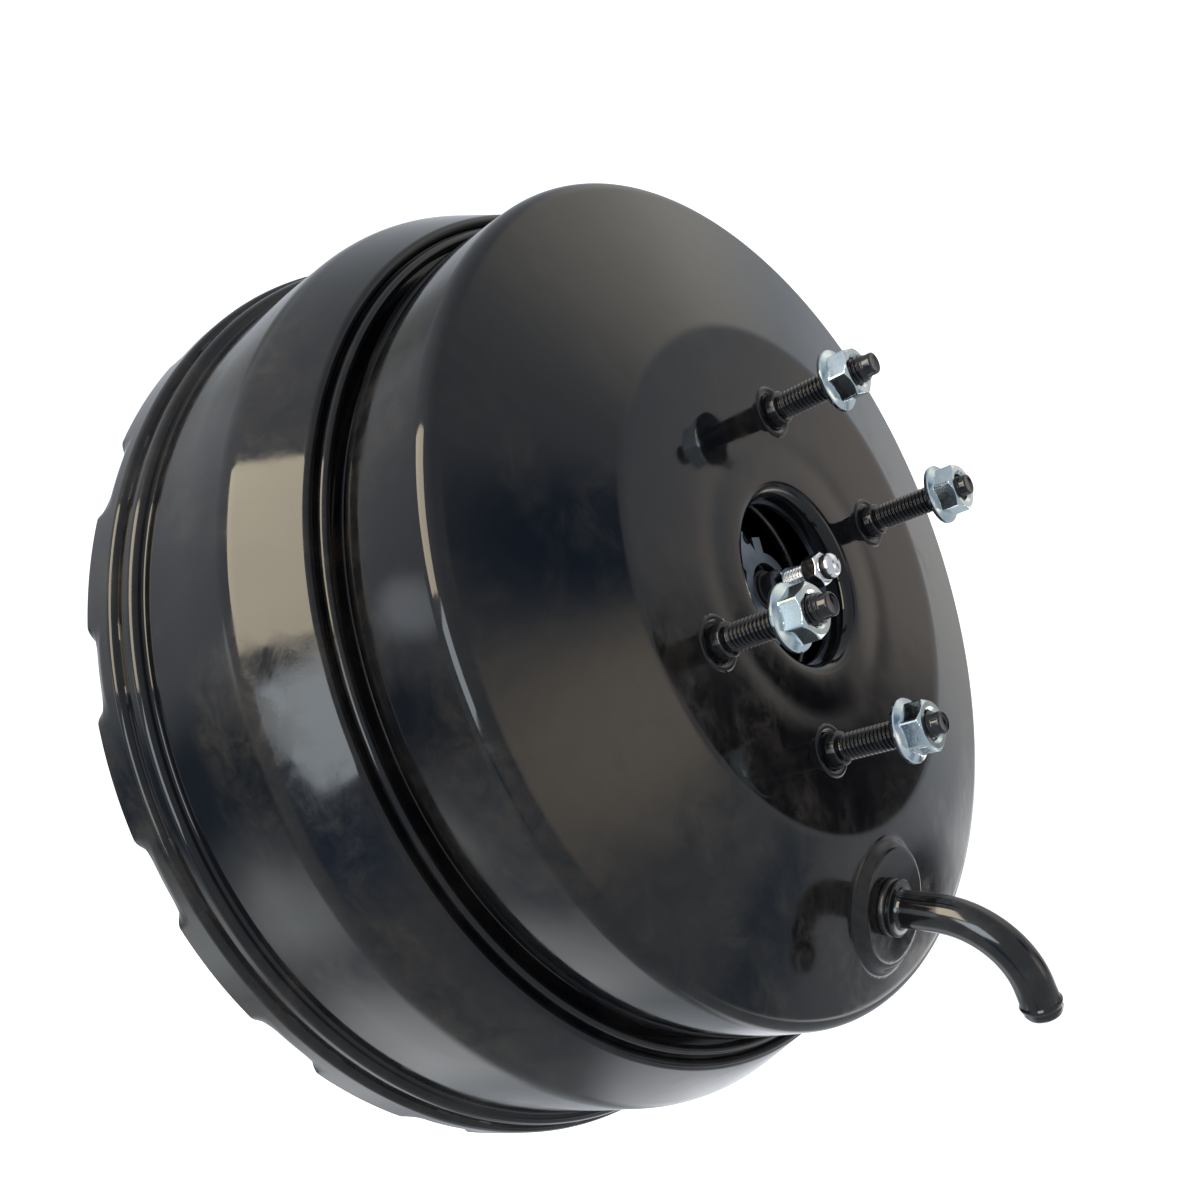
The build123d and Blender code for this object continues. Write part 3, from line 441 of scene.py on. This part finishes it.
def frontShell():
    corners = shellOuterCorners()
    outer = filleted(corners)
    # Close rings where the boss lies, so that its edge stays round
    rows = [outer[0]]
    for a, b in zip(outer[:-1], outer[1:]):
        onCone = min(a[1], b[1]) > booster["padR"] and max(a[1], b[1]) < booster["rimR"]
        onPad = max(a[1], b[1]) < booster["padR"] and abs(a[0] - b[0]) < 0.01
        pitch = ringPitch["cone" if onCone else "pad" if onPad else "elsewhere"]
        count = max(1, int(np.linalg.norm(b - a) / pitch))
        rows += [a + (b - a) * k / count for k in range(1, count + 1)]
    outer = np.array(rows)
    inner = leftOf(filleted(corners, 0.08), booster["frontWall"])
    offDish = (outer[:, 1] - shellBends["dishR"]) / shellBends["dishWidth"]
    dish = shellBends["dishDepth"] * np.exp(-(offDish ** 2))
    outer[:, 0] -= np.where(outer[:, 0] > booster["rimX"], dish, 0)
    profile = np.concatenate([outer, inner[::-1]])
    middle = math.radians(boss["angle"])
    angles = unevenAngles(360, 96, middle, math.radians(14))
    points = turnedPoints(profile, angles)
    foot, down, side, normal = bossFrame()
    local = points - foot
    reach = np.hypot(local @ down, local @ side)
    height = local @ normal
    t = np.clip((boss["footR"] - reach) / (boss["footR"] - boss["flatR"]), 0, 1)
    weight = t * t * t * (t * (6 * t - 15) + 10)
    isInner = np.repeat(np.arange(len(profile)) >= len(outer), len(angles))
    top = np.where(isInner, boss["height"] - booster["frontWall"], boss["height"])
    nearby = (np.abs(height) < 8) & (reach < boss["footR"])
    lift = np.where(nearby, weight * (top - height), 0)
    points = points + lift[:, None] * normal
    faces = [tuple(reversed(f)) for f in ringFaces(len(profile), len(angles), True)]
    return meshObject("frontShell", points, faces, 40)


def bakeModifiers(piece):
    evaluated = piece.evaluated_get(bpy.context.evaluated_depsgraph_get())
    shaped = bpy.data.meshes.new_from_object(evaluated)
    piece.modifiers.clear()
    piece.data = shaped


def cutHoles(piece, places):
    # Round holes through a sheet: (centre, direction, radius) in millimetres
    for number, (centre, direction, radius) in enumerate(places):
        cutter = radialSolid(f"cutter{number}", [(-6, radius), (6, radius)], 64)
        turn = Vector((1, 0, 0)).rotation_difference(Vector(direction))
        place = Matrix.Translation(Vector(centre) * mm)
        cutter.data.transform(place @ turn.to_matrix().to_4x4())
        cut = piece.modifiers.new("hole", "BOOLEAN")
        cut.operation = "DIFFERENCE"
        cut.solver = "EXACT"
        cut.object = cutter
        bakeModifiers(piece)
        bpy.data.objects.remove(cutter)


studPlaces = [
    (booster["studY"] * across, booster["studZ"] * up) for across in (1, -1) for up in (1, -1)
]
shell = frontShell()
stations = [
    ((booster["padX"] - 1, y, z), (1, 0, 0), booster["studHoleR"]) for y, z in studPlaces
]
stations.append((tuple(portOrigin()), tuple(bossFrame()[3]), boss["holeR"]))
cutHoles(shell, stations)
dress(shell, "housing", "front_shell")
print("front shell:", len(shell.data.polygons), "faces")


# Crimped skirt
crimp = {
    "count": 16,
    "firstAngle": 11.25,
    "halfAngle": 2.0,
    "blendAngle": 3.2,
    "rearX": 31.4,
    "turnX": 37.4,
    "lipX": 33.3,
    "lipR": 148.6,
    "tabX": 31.6,
    "tabR": 145.3,
    "steps": 1280,
}


def crimpWeight(angles):
    # 0 on a lobe, 1 in a notch, with a soft shoulder between
    pitch = 2 * math.pi / crimp["count"]
    off = np.abs((angles - math.radians(crimp["firstAngle"]) + pitch / 2) % pitch - pitch / 2)
    edge = math.radians(crimp["halfAngle"])
    blend = math.radians(crimp["blendAngle"])
    t = np.clip((edge + blend - off) / blend, 0, 1)
    return t * t * (3 - 2 * t)


def crimpedSkirt():
    wall = booster["frontWall"]
    s = shellBends
    start = [(booster["flangeX"] + 3.0, s["stepR"]), (booster["flangeX"], s["stepR"], 0.3)]
    start.append((booster["flangeX"], booster["flangeR"], 1.8))
    lobe = start + [(crimp["rearX"], booster["flangeR"])]
    notch = start + [
        (crimp["turnX"], booster["flangeR"], 4.0),
        (crimp["lipX"], crimp["lipR"], 1.5),
        (crimp["tabX"], crimp["tabR"]),
    ]

    def evenly(corners, count, distance):
        line = leftOf(filleted(corners), distance) if distance else filleted(corners)
        along = np.concatenate([[0], np.cumsum(np.linalg.norm(np.diff(line, axis=0), axis=1))])
        wanted = np.linspace(0, along[-1], count)
        return np.stack([np.interp(wanted, along, line[:, c]) for c in (0, 1)], 1)

    def loop(corners):
        return np.concatenate([evenly(corners, 30, 0), evenly(corners, 12, wall)[::-1]])

    angles = np.linspace(0, 2 * math.pi, crimp["steps"], endpoint=False)
    weight = crimpWeight(angles)
    plain, pressed = loop(lobe), loop(notch)
    weight = weight[None, :, None]
    profile = plain[:, None, :] * (1 - weight) + pressed[:, None, :] * weight
    x, r = profile[..., 0].ravel(), profile[..., 1].ravel()
    a = np.tile(angles, len(plain))
    points = np.stack([x, r * np.cos(a), r * np.sin(a)], 1)
    faces = [tuple(reversed(f)) for f in ringFaces(len(plain), len(angles), True)]
    return meshObject("crimpedSkirt", points, faces, 50)


skirt = dress(crimpedSkirt(), "housing", "front_shell")
seamBead = {"x": 111.2, "r": 129.0, "section": 1.5}
beadRing = [
    (
        seamBead["x"] + seamBead["section"] * math.cos(a),
        seamBead["r"] + seamBead["section"] * math.sin(a),
    )
    for a in np.linspace(0, 2 * math.pi, 16, endpoint=False)
]
dress(turned("seamBead", beadRing, 256), "housing", "front_shell")
print("skirt:", len(skirt.data.polygons), "faces")


# Rear shell
rearCorners = [
    (34.8, 148.1),
    (34.8, 142.5, 2.5),
    (20.0, 136.0, 12.0),
    (6.0, 104.0, 14.0),
    (0.0, 84.0, 6.0),
    (0.0, 27.8, 3.0),
    (-44.0, 27.8, 2.7),
    (-44.0, 22.2),
]


def rearShell():
    return turned("rearShell", sheetProfile(rearCorners, booster["rearWall"]), 256)


rear = rearShell()
rearStuds = {"y": 43.0, "z": 35.0, "length": 24.0}
rearPlaces = [
    (rearStuds["y"] * across, rearStuds["z"] * up) for across in (1, -1) for up in (1, -1)
]
cutHoles(rear, [((1, y, z), (1, 0, 0), booster["studHoleR"]) for y, z in rearPlaces])
dress(rear, "housing", "rear_shell")
print("rear shell:", len(rear.data.polygons), "faces")


# Copies over points, with Geometry Nodes
def copyTree():
    # Sets one shape on every point, each turned by its own spin, with its material
    tree = bpy.data.node_groups.new("copiesOnPoints", "GeometryNodeTree")
    tree.interface.new_socket("Geometry", in_out="INPUT", socket_type="NodeSocketGeometry")
    tree.interface.new_socket("Shape", in_out="INPUT", socket_type="NodeSocketObject")
    tree.interface.new_socket("Finish", in_out="INPUT", socket_type="NodeSocketMaterial")
    tree.interface.new_socket("Geometry", in_out="OUTPUT", socket_type="NodeSocketGeometry")
    add, link = tree.nodes.new, tree.links.new
    given, made = add("NodeGroupInput"), add("NodeGroupOutput")
    shape = add("GeometryNodeObjectInfo")
    link(given.outputs["Shape"], shape.inputs["Object"])
    spin = add("GeometryNodeInputNamedAttribute")
    spin.data_type = "FLOAT_VECTOR"
    spin.inputs["Name"].default_value = "spin"
    turn = add("FunctionNodeEulerToRotation")
    link(spin.outputs["Attribute"], turn.inputs["Euler"])
    copies = add("GeometryNodeInstanceOnPoints")
    link(given.outputs["Geometry"], copies.inputs["Points"])
    link(shape.outputs["Geometry"], copies.inputs["Instance"])
    link(turn.outputs["Rotation"], copies.inputs["Rotation"])
    real = add("GeometryNodeRealizeInstances")
    link(copies.outputs["Instances"], real.inputs["Geometry"])
    finish = add("GeometryNodeSetMaterial")
    link(real.outputs["Geometry"], finish.inputs["Geometry"])
    link(given.outputs["Finish"], finish.inputs["Material"])
    link(finish.outputs["Geometry"], made.inputs["Geometry"])
    return tree


copiesOnPoints = copyTree()


def spreadCopies(name, shape, places, body, node):
    # places are (point in millimetres, turn about X, Y and Z in degrees)
    mesh = bpy.data.meshes.new(name)
    mesh.from_pydata([tuple(c * mm for c in point) for point, _ in places], [], [])
    spin = mesh.attributes.new("spin", "FLOAT_VECTOR", "POINT")
    for i, (_, turn) in enumerate(places):
        spin.data[i].vector = [math.radians(t) for t in turn]
    piece = bpy.data.objects.new(name, mesh)
    bpy.context.scene.collection.objects.link(piece)
    spread = piece.modifiers.new("copies", "NODES")
    spread.node_group = copiesOnPoints
    for item in copiesOnPoints.interface.items_tree:
        if item.in_out == "INPUT" and item.name == "Shape":
            spread[item.identifier] = shape
        if item.in_out == "INPUT" and item.name == "Finish":
            spread[item.identifier] = finishes[slotOf[node]]
    bpy.context.view_layer.update()
    bakeModifiers(piece)
    bpy.data.objects.remove(shape)
    return dress(piece, body, node)


# Studs and the swaged rings round their feet
stud = {
    "shoulderR": 5.0,
    "shoulderLength": 4.0,
    "crestR": 3.97,
    "rootR": 3.28,
    "pitch": 1.25,
    "pointR": 3.1,
    "pointLength": 2.6,
    "collarR": 5.2,
    "behind": 4.0,
    "columns": 64,
}


# Share of the pitch that is flat, at the crest and at the root
threadFlat = 0.14
rowsPerPitch = 12


def threadRows(start, end, crestR, rootR, pitch, columns, runOut):
    # Rows of a V thread that fades into its root at both ends
    angles = np.linspace(0, 1, columns, endpoint=False)
    rows = []
    for x in np.arange(start, end, pitch / rowsPerPitch):
        phase = ((x - start) / pitch - angles) % 1
        flank = np.clip((1 - abs(2 * phase - 1) - threadFlat) / (1 - 2 * threadFlat), 0, 1)
        fade = min(1, (x - start) / runOut, (end - x) / (0.6 * pitch))
        rows.append((x, rootR + (crestR - rootR) * flank * max(0, fade)))
    return rows


def threadedStud(name, length):
    threadEnd = length - stud["pointLength"]
    shoulder, shoulderR = stud["shoulderLength"], stud["shoulderR"]
    rootR, pointR = stud["rootR"], stud["pointR"]
    rows = [(-stud["behind"], stud["collarR"]), (-0.02, stud["collarR"]), (0.0, shoulderR)]
    rows += [(shoulder - 0.5, shoulderR), (shoulder - 0.15, shoulderR - 0.15)]
    rows += [(shoulder, shoulderR - 0.5), (shoulder, rootR)]
    rows += threadRows(
        shoulder + 0.1, threadEnd, stud["crestR"], rootR, stud["pitch"], stud["columns"], 1.6
    )
    rows += [(threadEnd, rootR - 0.1), (threadEnd + 0.3, pointR), (length - 0.45, pointR)]
    rows += [(length - 0.12, pointR - 0.12), (length, pointR - 0.5), (length - 0.25, pointR - 1.1)]
    return radialSolid(name, rows, stud["columns"], 75)


frontStudLength = 34.9
frontPlaces = [
    ((booster["padX"], y, z), (turn, 0, 0))
    for (y, z), turn in zip(studPlaces, (0, 70, 140, 250))
]
frontStud = threadedStud("studShape", frontStudLength)
spreadCopies("frontStuds", frontStud, frontPlaces, "housing", "front_studs")
backPlaces = [
    ((0, y, z), (turn, 0, 180)) for (y, z), turn in zip(rearPlaces, (20, 110, 200, 290))
]
rearStud = threadedStud("studShape", rearStuds["length"])
spreadCopies("rearStuds", rearStud, backPlaces, "housing", "rear_studs")

swage = {"innerR": 5.9, "outerR": 7.9, "height": 0.5}
swageRing = [
    (-0.4, swage["innerR"]),
    (-0.4, swage["outerR"]),
    (0.05, swage["outerR"]),
    (swage["height"] * 0.75, swage["outerR"] - 0.35),
    (swage["height"], swage["outerR"] - 0.75),
    (swage["height"], swage["innerR"] + 0.75),
    (swage["height"] * 0.75, swage["innerR"] + 0.35),
    (0.05, swage["innerR"]),
]
swageShape = turned("ringShape", swageRing[::-1], 64)
spreadCopies("swageRings", swageShape, frontPlaces, "housing", "front_shell")
print("studs ready")


# Flange nuts
nut = {
    "seats": (21.7, 24.8, 22.0, 23.8),
    "spins": (-10, 29, 70, 22),
    "flats": 13.0,
    "height": 8.0,
    "flangeR": 9.0,
    "flange": 1.4,
    "chamfer": 0.9,
    "coneSlope": 2.3,
    "bevelSlope": 1.25,
    "boreR": 4.1,
    "columns": 120,
}


def hexRadius(flats, cornerR, columns):
    # Radius of a hexagon at each column, with its corners just taken off
    angles = np.linspace(0, 360, columns, endpoint=False)
    off = np.radians((angles + 30) % 60 - 30)
    return np.minimum(flats / 2 / np.cos(off), cornerR)


def nutShape():
    columns = nut["columns"]
    corner = nut["flats"] / 2 / math.cos(math.pi / 6) - 0.12
    side = hexRadius(nut["flats"], corner, columns)
    flange, flangeR = nut["flange"], nut["flangeR"]
    rows = [(0.0, nut["boreR"] + 0.6), (0.0, flangeR - 0.3), (0.12, flangeR - 0.08)]
    rows += [(0.4, flangeR), (flange - 0.3, flangeR), (flange, flangeR - 0.2)]
    for x in np.arange(flange + 0.1, flange + 1.3, 0.1):
        cone = flangeR - 0.2 - (x - flange) * nut["coneSlope"]
        rows.append((x, np.maximum(side, cone)))
    for x in np.linspace(nut["height"] - 1.3, nut["height"], 14):
        bevel = corner + 0.1 - (x - (nut["height"] - nut["chamfer"])) * nut["bevelSlope"]
        rows.append((x, np.minimum(side, bevel)))
    rows += [(nut["height"], nut["boreR"] + 0.9), (nut["height"] - 0.7, nut["boreR"])]
    rows.append((3.0, nut["boreR"]))
    faces = ringFaces(len(rows), columns, True)
    return meshObject("nutShape", stackedRings(rows, columns), faces, 28)


nutPlaces = [
    ((booster["padX"] + seat, y, z), (spin, 0, 0))
    for (y, z), seat, spin in zip(studPlaces, nut["seats"], nut["spins"])
]
spreadCopies("frontNuts", nutShape(), nutPlaces, "housing", "front_nuts")
print("nuts ready")


# Output rod
rod = {
    "footX": 99.5,
    "footR": 14.3,
    "shaftR": 7.0,
    "landX": 144.0,
    "collarFlats": 7.4,
    "neckR": 2.95,
    "tipFlats": 9.0,
    "domeR": 3.7,
    "domeLength": 4.5,
}


def outputRod():
    x, footX, shaftR = rod["landX"], rod["footX"], rod["shaftR"]
    rows = [(footX, rod["footR"]), (footX + 5, rod["footR"]), (footX + 5, shaftR + 1.5)]
    rows += [(footX + 6.5, shaftR), (x - 0.4, shaftR), (x, shaftR - 0.4)]
    rows += [(x, 6.0), (x + 3.8, 6.0), (x + 4, 5.8), (x + 4, 5.3), (x + 4.9, 5.3)]
    rows += [(x + 5, 5.2), (x + 5, 4.5), (x + 8.6, 4.5), (x + 9, 4.1)]
    return radialSolid("outputRod", rows, 96)


def rodCollar():
    start = rod["landX"] + 9.03
    corner = rod["collarFlats"] / 2 / math.cos(math.pi / 6)
    side = hexRadius(rod["collarFlats"], corner - 0.05, 120)
    rows = [(start, np.minimum(side, corner - 0.3)), (start + 0.25, side), (start + 2.7, side)]
    rows.append((start + 2.95, np.minimum(side, corner - 0.35)))
    return radialSolid("rodCollar", rows, 120, 28)


def rodTip():
    columns = 120
    start = rod["landX"] + 12
    hexX = start + 7
    corner = rod["tipFlats"] / 2 / math.cos(math.pi / 6)
    side = hexRadius(rod["tipFlats"], corner - 0.06, columns)
    rows = [(start - 2, rod["neckR"] - 0.5)]
    rows += threadRows(start - 1.9, hexX - 0.6, rod["neckR"], 2.45, 1.0, columns, 0.3)
    rows.append((hexX - 0.05, 2.6))
    for x in np.linspace(0, 5.0, 34):
        bevel = corner + 0.1 - max(0.0, 0.8 - x, x - 4.2) * 1.3
        rows.append((hexX + x, np.minimum(side, bevel)))
    domeX = hexX + 5
    rows.append((domeX, rod["domeR"] - 0.05))
    rows.append((domeX + rod["domeLength"] - 2.4, rod["domeR"]))
    for t in np.linspace(0.1, 0.97, 12):
        rise = 2.4 * math.sin(t * math.pi / 2)
        rows.append(
            (domeX + rod["domeLength"] - 2.4 + rise, rod["domeR"] * math.cos(t * math.pi / 2))
        )
    return radialSolid("rodTip", rows, columns, 50)


dress(outputRod(), "power_piston", "output_rod")
dress(rodCollar(), "power_piston", "rod_collar")
dress(rodTip(), "power_piston", "output_rod_tip")
print("output rod ready")


# Vacuum pipe and its grommet
elbow = {
    "r": 5.5,
    "wall": 1.2,
    "collarR": 8.3,
    "collar": 1.5,
    "straight": 14.49,
    "bend": 24.8,
    "angle": 78.0,
    "twist": 14.6,
    "end": 9.0,
    "beadR": 6.0,
    "beadBack": 3.5,
    "noseR": 4.8,
    "columns": 72,
}
grommet = {"r": 8.4, "lip": 2.0, "holeR": 7.35, "hold": 2.0}


def elbowLine(s):
    # Point and direction at a distance s along the pipe, and the fixed sideways direction
    foot, down, side, normal = bossFrame()
    twist = math.radians(elbow["twist"])
    lean = math.cos(twist) * down + math.sin(twist) * side
    across = np.cross(normal, lean)
    arc = elbow["bend"] * math.radians(elbow["angle"])
    origin = portOrigin()
    if s <= elbow["straight"]:
        return origin + normal * s, normal, across
    turn = min(s - elbow["straight"], arc) / elbow["bend"]
    spot = origin + normal * (elbow["straight"] + elbow["bend"] * math.sin(turn))
    spot = spot + lean * elbow["bend"] * (1 - math.cos(turn))
    ahead = math.cos(turn) * normal + math.sin(turn) * lean
    return spot + ahead * max(0.0, s - elbow["straight"] - arc), ahead, across


def vacuumElbow():
    r, wall = elbow["r"], elbow["wall"]
    arc = elbow["bend"] * math.radians(elbow["angle"])
    total = elbow["straight"] + arc + elbow["end"]
    low = grommet["lip"] + 0.1
    high = low + elbow["collar"]
    bead = total - elbow["beadBack"]
    collarR, beadR, noseR = elbow["collarR"], elbow["beadR"], elbow["noseR"]
    rows = [(-6.6, r - wall), (-6.6, r), (low, r), (low, collarR - 0.3), (low + 0.3, collarR)]
    rows += [(high - 0.3, collarR), (high, collarR - 0.3), (high, r + 0.8)]
    rows += [(high + 0.25, r + 0.25), (high + 0.8, r)]
    rows += [(s, r) for s in np.linspace(high + 2, elbow["straight"], 6)]
    rows += [(s, r) for s in np.linspace(elbow["straight"] + 0.8, elbow["straight"] + arc, 42)]
    rows += [(bead - 1.3, r), (bead - 0.9, r + 0.1), (bead - 0.5, beadR - 0.12)]
    rows += [(bead - 0.1, beadR), (bead + 0.3, beadR - 0.1), (bead + 0.8, r + 0.1)]
    rows += [(bead + 1.2, r), (total - 1.4, r), (total - 0.5, noseR + 0.25)]
    rows += [(total - 0.1, noseR), (total, noseR - 0.2)]
    rows += [(total - 0.1, r - wall + 0.1), (total - 0.4, r - wall)]
    rows += [(s, r - wall) for s in np.linspace(elbow["straight"] + arc, elbow["straight"], 24)]
    columns = elbow["columns"]
    angles = np.linspace(0, 2 * math.pi, columns, endpoint=False)
    points = []
    for s, radius in rows:
        # The part inside the shell runs straight back along the first direction
        spot, ahead, across = elbowLine(max(s, 0))
        spot = spot + ahead * min(s, 0)
        third = np.cross(ahead, across)
        points += [spot + radius * (math.cos(a) * across + math.sin(a) * third) for a in angles]
    faces = ringFaces(len(rows), columns, True)
    return meshObject("vacuumElbow", points, faces, 40)


def vacuumGrommet():
    g = grommet
    profile = [
        (-g["hold"] - 1.6, 5.56),
        (-g["hold"] - 1.6, 6.9),
        (-1.7, g["r"] - 0.1),
        (-1.65, g["holeR"]),
        (0.05, g["holeR"]),
        (0.05, g["r"] - 0.2),
        (0.25, g["r"]),
        (g["lip"] - 0.75, g["r"]),
        (g["lip"] - 0.5, g["r"] - 0.08),
        (g["lip"] - 0.22, g["r"] - 0.25),
        (g["lip"] - 0.05, g["r"] - 0.5),
        (g["lip"], g["r"] - 0.8),
        (g["lip"], 5.56),
    ]
    piece = turned("vacuumGrommet", profile[::-1], 96)
    turn = Vector((1, 0, 0)).rotation_difference(Vector(bossFrame()[3]))
    piece.data.transform(Matrix.Translation(Vector(portOrigin()) * mm) @ turn.to_matrix().to_4x4())
    return piece


dress(vacuumElbow(), "vacuum_elbow", "vacuum_elbow")
dress(vacuumGrommet(), "housing", "vacuum_grommet")
print("vacuum port ready")


# Pieces that shorten on the real booster as their joint moves, here kept as merged copies of their
# nodes
# Node: body of the fixed end, joint, fixed end along X and travel in metres
shortening = {
    "boot": ("housing", "power_stroke", -0.0295, 0.030),
    "return_spring": ("housing", "power_stroke", 0.1584, 0.030),
    "poppet_spring": ("power_piston", "plunger_travel", -0.0327, 0.002),
    "input_return_spring": ("power_piston", "plunger_travel", -0.0379, 0.002),
}


def mergedCopy(name, node):
    mesh = node.data.copy()
    mesh.name = name
    mesh.transform(node.matrix_world)
    work = bmesh.new()
    work.from_mesh(mesh)
    bmesh.ops.remove_doubles(work, verts=work.verts, dist=1e-6)
    work.to_mesh(mesh)
    work.free()
    mesh.shade_smooth()
    mesh.set_sharp_from_angle(angle=math.radians(35))
    piece = bpy.data.objects.new(name, mesh)
    bpy.context.scene.collection.objects.link(piece)
    return piece


bpy.context.view_layer.update()
for nodeName, (body, joint, fixedX, travel) in shortening.items():
    words = nodeName.split("_")
    pieceName = "soft" + "".join(word.title() for word in words)
    piece = mergedCopy(pieceName, nodes[nodeName])
    dress(piece, body, nodeName)
    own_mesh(piece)
print("shortening pieces ready:", len(shortening))


# Camera
camera = {
    "place": (0.34527, -0.24327, 0.20692),
    "right": (0.716, 0.236, -0.6569),
    "up": (0.2304, 0.8084, 0.5416),
    "back": (0.6589, -0.5392, 0.5245),
    "lens": 37.83,
    "shiftX": 0.00874,
    "shiftY": 0.10228,
}
viewer = bpy.data.objects.new("viewer", bpy.data.cameras.new("viewer"))
bpy.context.scene.collection.objects.link(viewer)
turn = Matrix((camera["right"], camera["up"], camera["back"])).transposed()
viewer.matrix_world = Matrix.Translation(camera["place"]) @ turn.normalized().to_4x4()
viewer.data.sensor_width = 36
viewer.data.lens = camera["lens"]
viewer.data.shift_x = camera["shiftX"]
viewer.data.shift_y = camera["shiftY"]
viewer.data.clip_start = 0.01
viewer.data.clip_end = 60
bpy.context.scene.camera = viewer

# Studio
studio = {
    "surround": (0.6, 0.64, 0.69),
    "patchEdge": 0.75,
    "floorZ": -0.30,
    "floorWidth": 24.0,
    "floorGlow": 0.5,
    # soft boxes: place, aim, width, height, power, colour
    "boxes": (
        ((0.05, -0.22, 1.3), (0.05, -0.22, 0), 0.8, 0.87, 20.0, (1.0, 0.88, 0.64)),
        ((0.47, -1.32, 1.44), (0.05, 0, 0), 0.95, 0.85, 16.5, (0.84, 0.93, 1.0)),
    ),
}
# Soft light and soft shade around the object, laid over each other in this order:
# azimuth, elevation, half width, half height and roll in degrees, then the tone
softPatches = [
    (0, 90, 55, 55, 0, (1.0, 1.03, 1.1)),
    (70, -5, 34, 22, 0, (1.3, 1.25, 1.14)),
    (112, -46, 26, 24, 0, (0.6, 0.59, 0.57)),
    (26, -5, 12, 11, 0, (0.08, 0.16, 0.28)),
    (11, -20, 13, 17, 0, (2.05, 1.8, 1.5)),
    (4, -50, 16, 9, 0, (0.26, 0.33, 0.42)),
    (60, -36, 17, 15, 0, (0.92, 0.84, 0.77)),
    (43.5, -39.5, 9.5, 16, 20, (0.02, 0.012, 0.012)),
    (40, -71, 40, 6, 0, (3.0, 3.0, 3.0)),
    (54, -64.5, 15, 3, 0, (0.04, 0.04, 0.05)),
    (-152, 23, 24, 15, 0, (0.08, 0.13, 0.19)),
    (-160, 41, 10, 6, 0, (2.0, 2.15, 2.35)),
    (-148, 1, 13, 11, 0, (1.4, 1.48, 1.5)),
    (-148, -28, 24, 18, 0, (1.45, 1.5, 1.55)),
    (-91, 24, 12, 26, 0, (0.16, 0.3, 0.52)),
    (-150, -64, 44, 9, 0, (1.8, 1.85, 1.95)),
    (134, 22, 14, 14, 0, (0.36, 0.38, 0.38)),
]


def studioWorld():
    world = bpy.data.worlds.new("studio")
    bpy.context.scene.world = world
    world.use_nodes = True
    tree = world.node_tree
    link = tree.links.new
    place = tree.nodes.new("ShaderNodeTexCoord")
    tone = tree.nodes.new("ShaderNodeRGB").outputs["Color"]
    tone.default_value = (*studio["surround"], 1)
    for *angles, patchTone in softPatches:
        az, el, wide, tall, roll = (math.radians(angle) for angle in angles)
        spot = tree.nodes.new("ShaderNodeMapping")
        spot.vector_type = "TEXTURE"
        spot.inputs["Location"].default_value = (
            math.cos(el) * math.cos(az), math.cos(el) * math.sin(az), math.sin(el)
        )
        spot.inputs["Rotation"].default_value = (roll, -el, az)
        spot.inputs["Scale"].default_value = (2.0, wide, tall)
        link(place.outputs["Generated"], spot.inputs["Vector"])
        fall = tree.nodes.new("ShaderNodeTexGradient")
        fall.gradient_type = "SPHERICAL"
        link(spot.outputs["Vector"], fall.inputs["Vector"])
        soft = tree.nodes.new("ShaderNodeMapRange")
        soft.interpolation_type = "SMOOTHSTEP"
        soft.inputs["From Max"].default_value = studio["patchEdge"]
        link(fall.outputs["Fac"], soft.inputs["Value"])
        mix = tree.nodes.new("ShaderNodeMix")
        mix.data_type = "RGBA"
        link(soft.outputs["Result"], mix.inputs["Factor"])
        link(tone, mix.inputs[mixFirst])
        mix.inputs[mixSecond].default_value = (*patchTone, 1)
        tone = mix.outputs[mixResult]
    link(tone, tree.nodes["Background"].inputs["Color"])


def stagePiece(name, points, faces):
    mesh = bpy.data.meshes.new(name)
    mesh.from_pydata(points, [], faces)
    mesh.materials.append(paleFloor)
    piece = bpy.data.objects.new(name, mesh)
    piece.location.z = studio["floorZ"]
    piece.visible_glossy = False
    bpy.context.scene.collection.objects.link(piece)
    return piece


studioWorld()
paleFloor, _, floorShader = newMaterial(
    "paleFloor", Base_Color=(0.82, 0.82, 0.82, 1), Roughness=0.9
)
floorShader.inputs["Emission Color"].default_value = (1, 1, 1, 1)
floorShader.inputs["Emission Strength"].default_value = studio["floorGlow"]
half = studio["floorWidth"] / 2
low = [(-half, -half, 0), (half, -half, 0), (half, half, 0), (-half, half, 0)]
high = [(x, y, half) for x, y, _ in low]
stagePiece("studioFloor", low, [(0, 1, 2, 3)])
walls = [(i, i + 4, (i + 1) % 4 + 4, (i + 1) % 4) for i in range(4)]
backdrop = stagePiece("studioBackdrop", low + high, walls + [(4, 7, 6, 5)])
backdrop.visible_diffuse = False
backdrop.visible_shadow = False

for number, (place, aim, width, height, power, colour) in enumerate(studio["boxes"]):
    box = bpy.data.objects.new(f"softBox{number}", bpy.data.lights.new(f"softBox{number}", "AREA"))
    box.data.shape = "RECTANGLE"
    box.data.size = width
    box.data.size_y = height
    box.data.energy = power
    box.data.color = colour
    box.location = place
    box.rotation_euler = (Vector(aim) - Vector(place)).to_track_quat("-Z", "Y").to_euler()
    bpy.context.scene.collection.objects.link(box)
bpy.context.scene.view_settings.view_transform = "Standard"
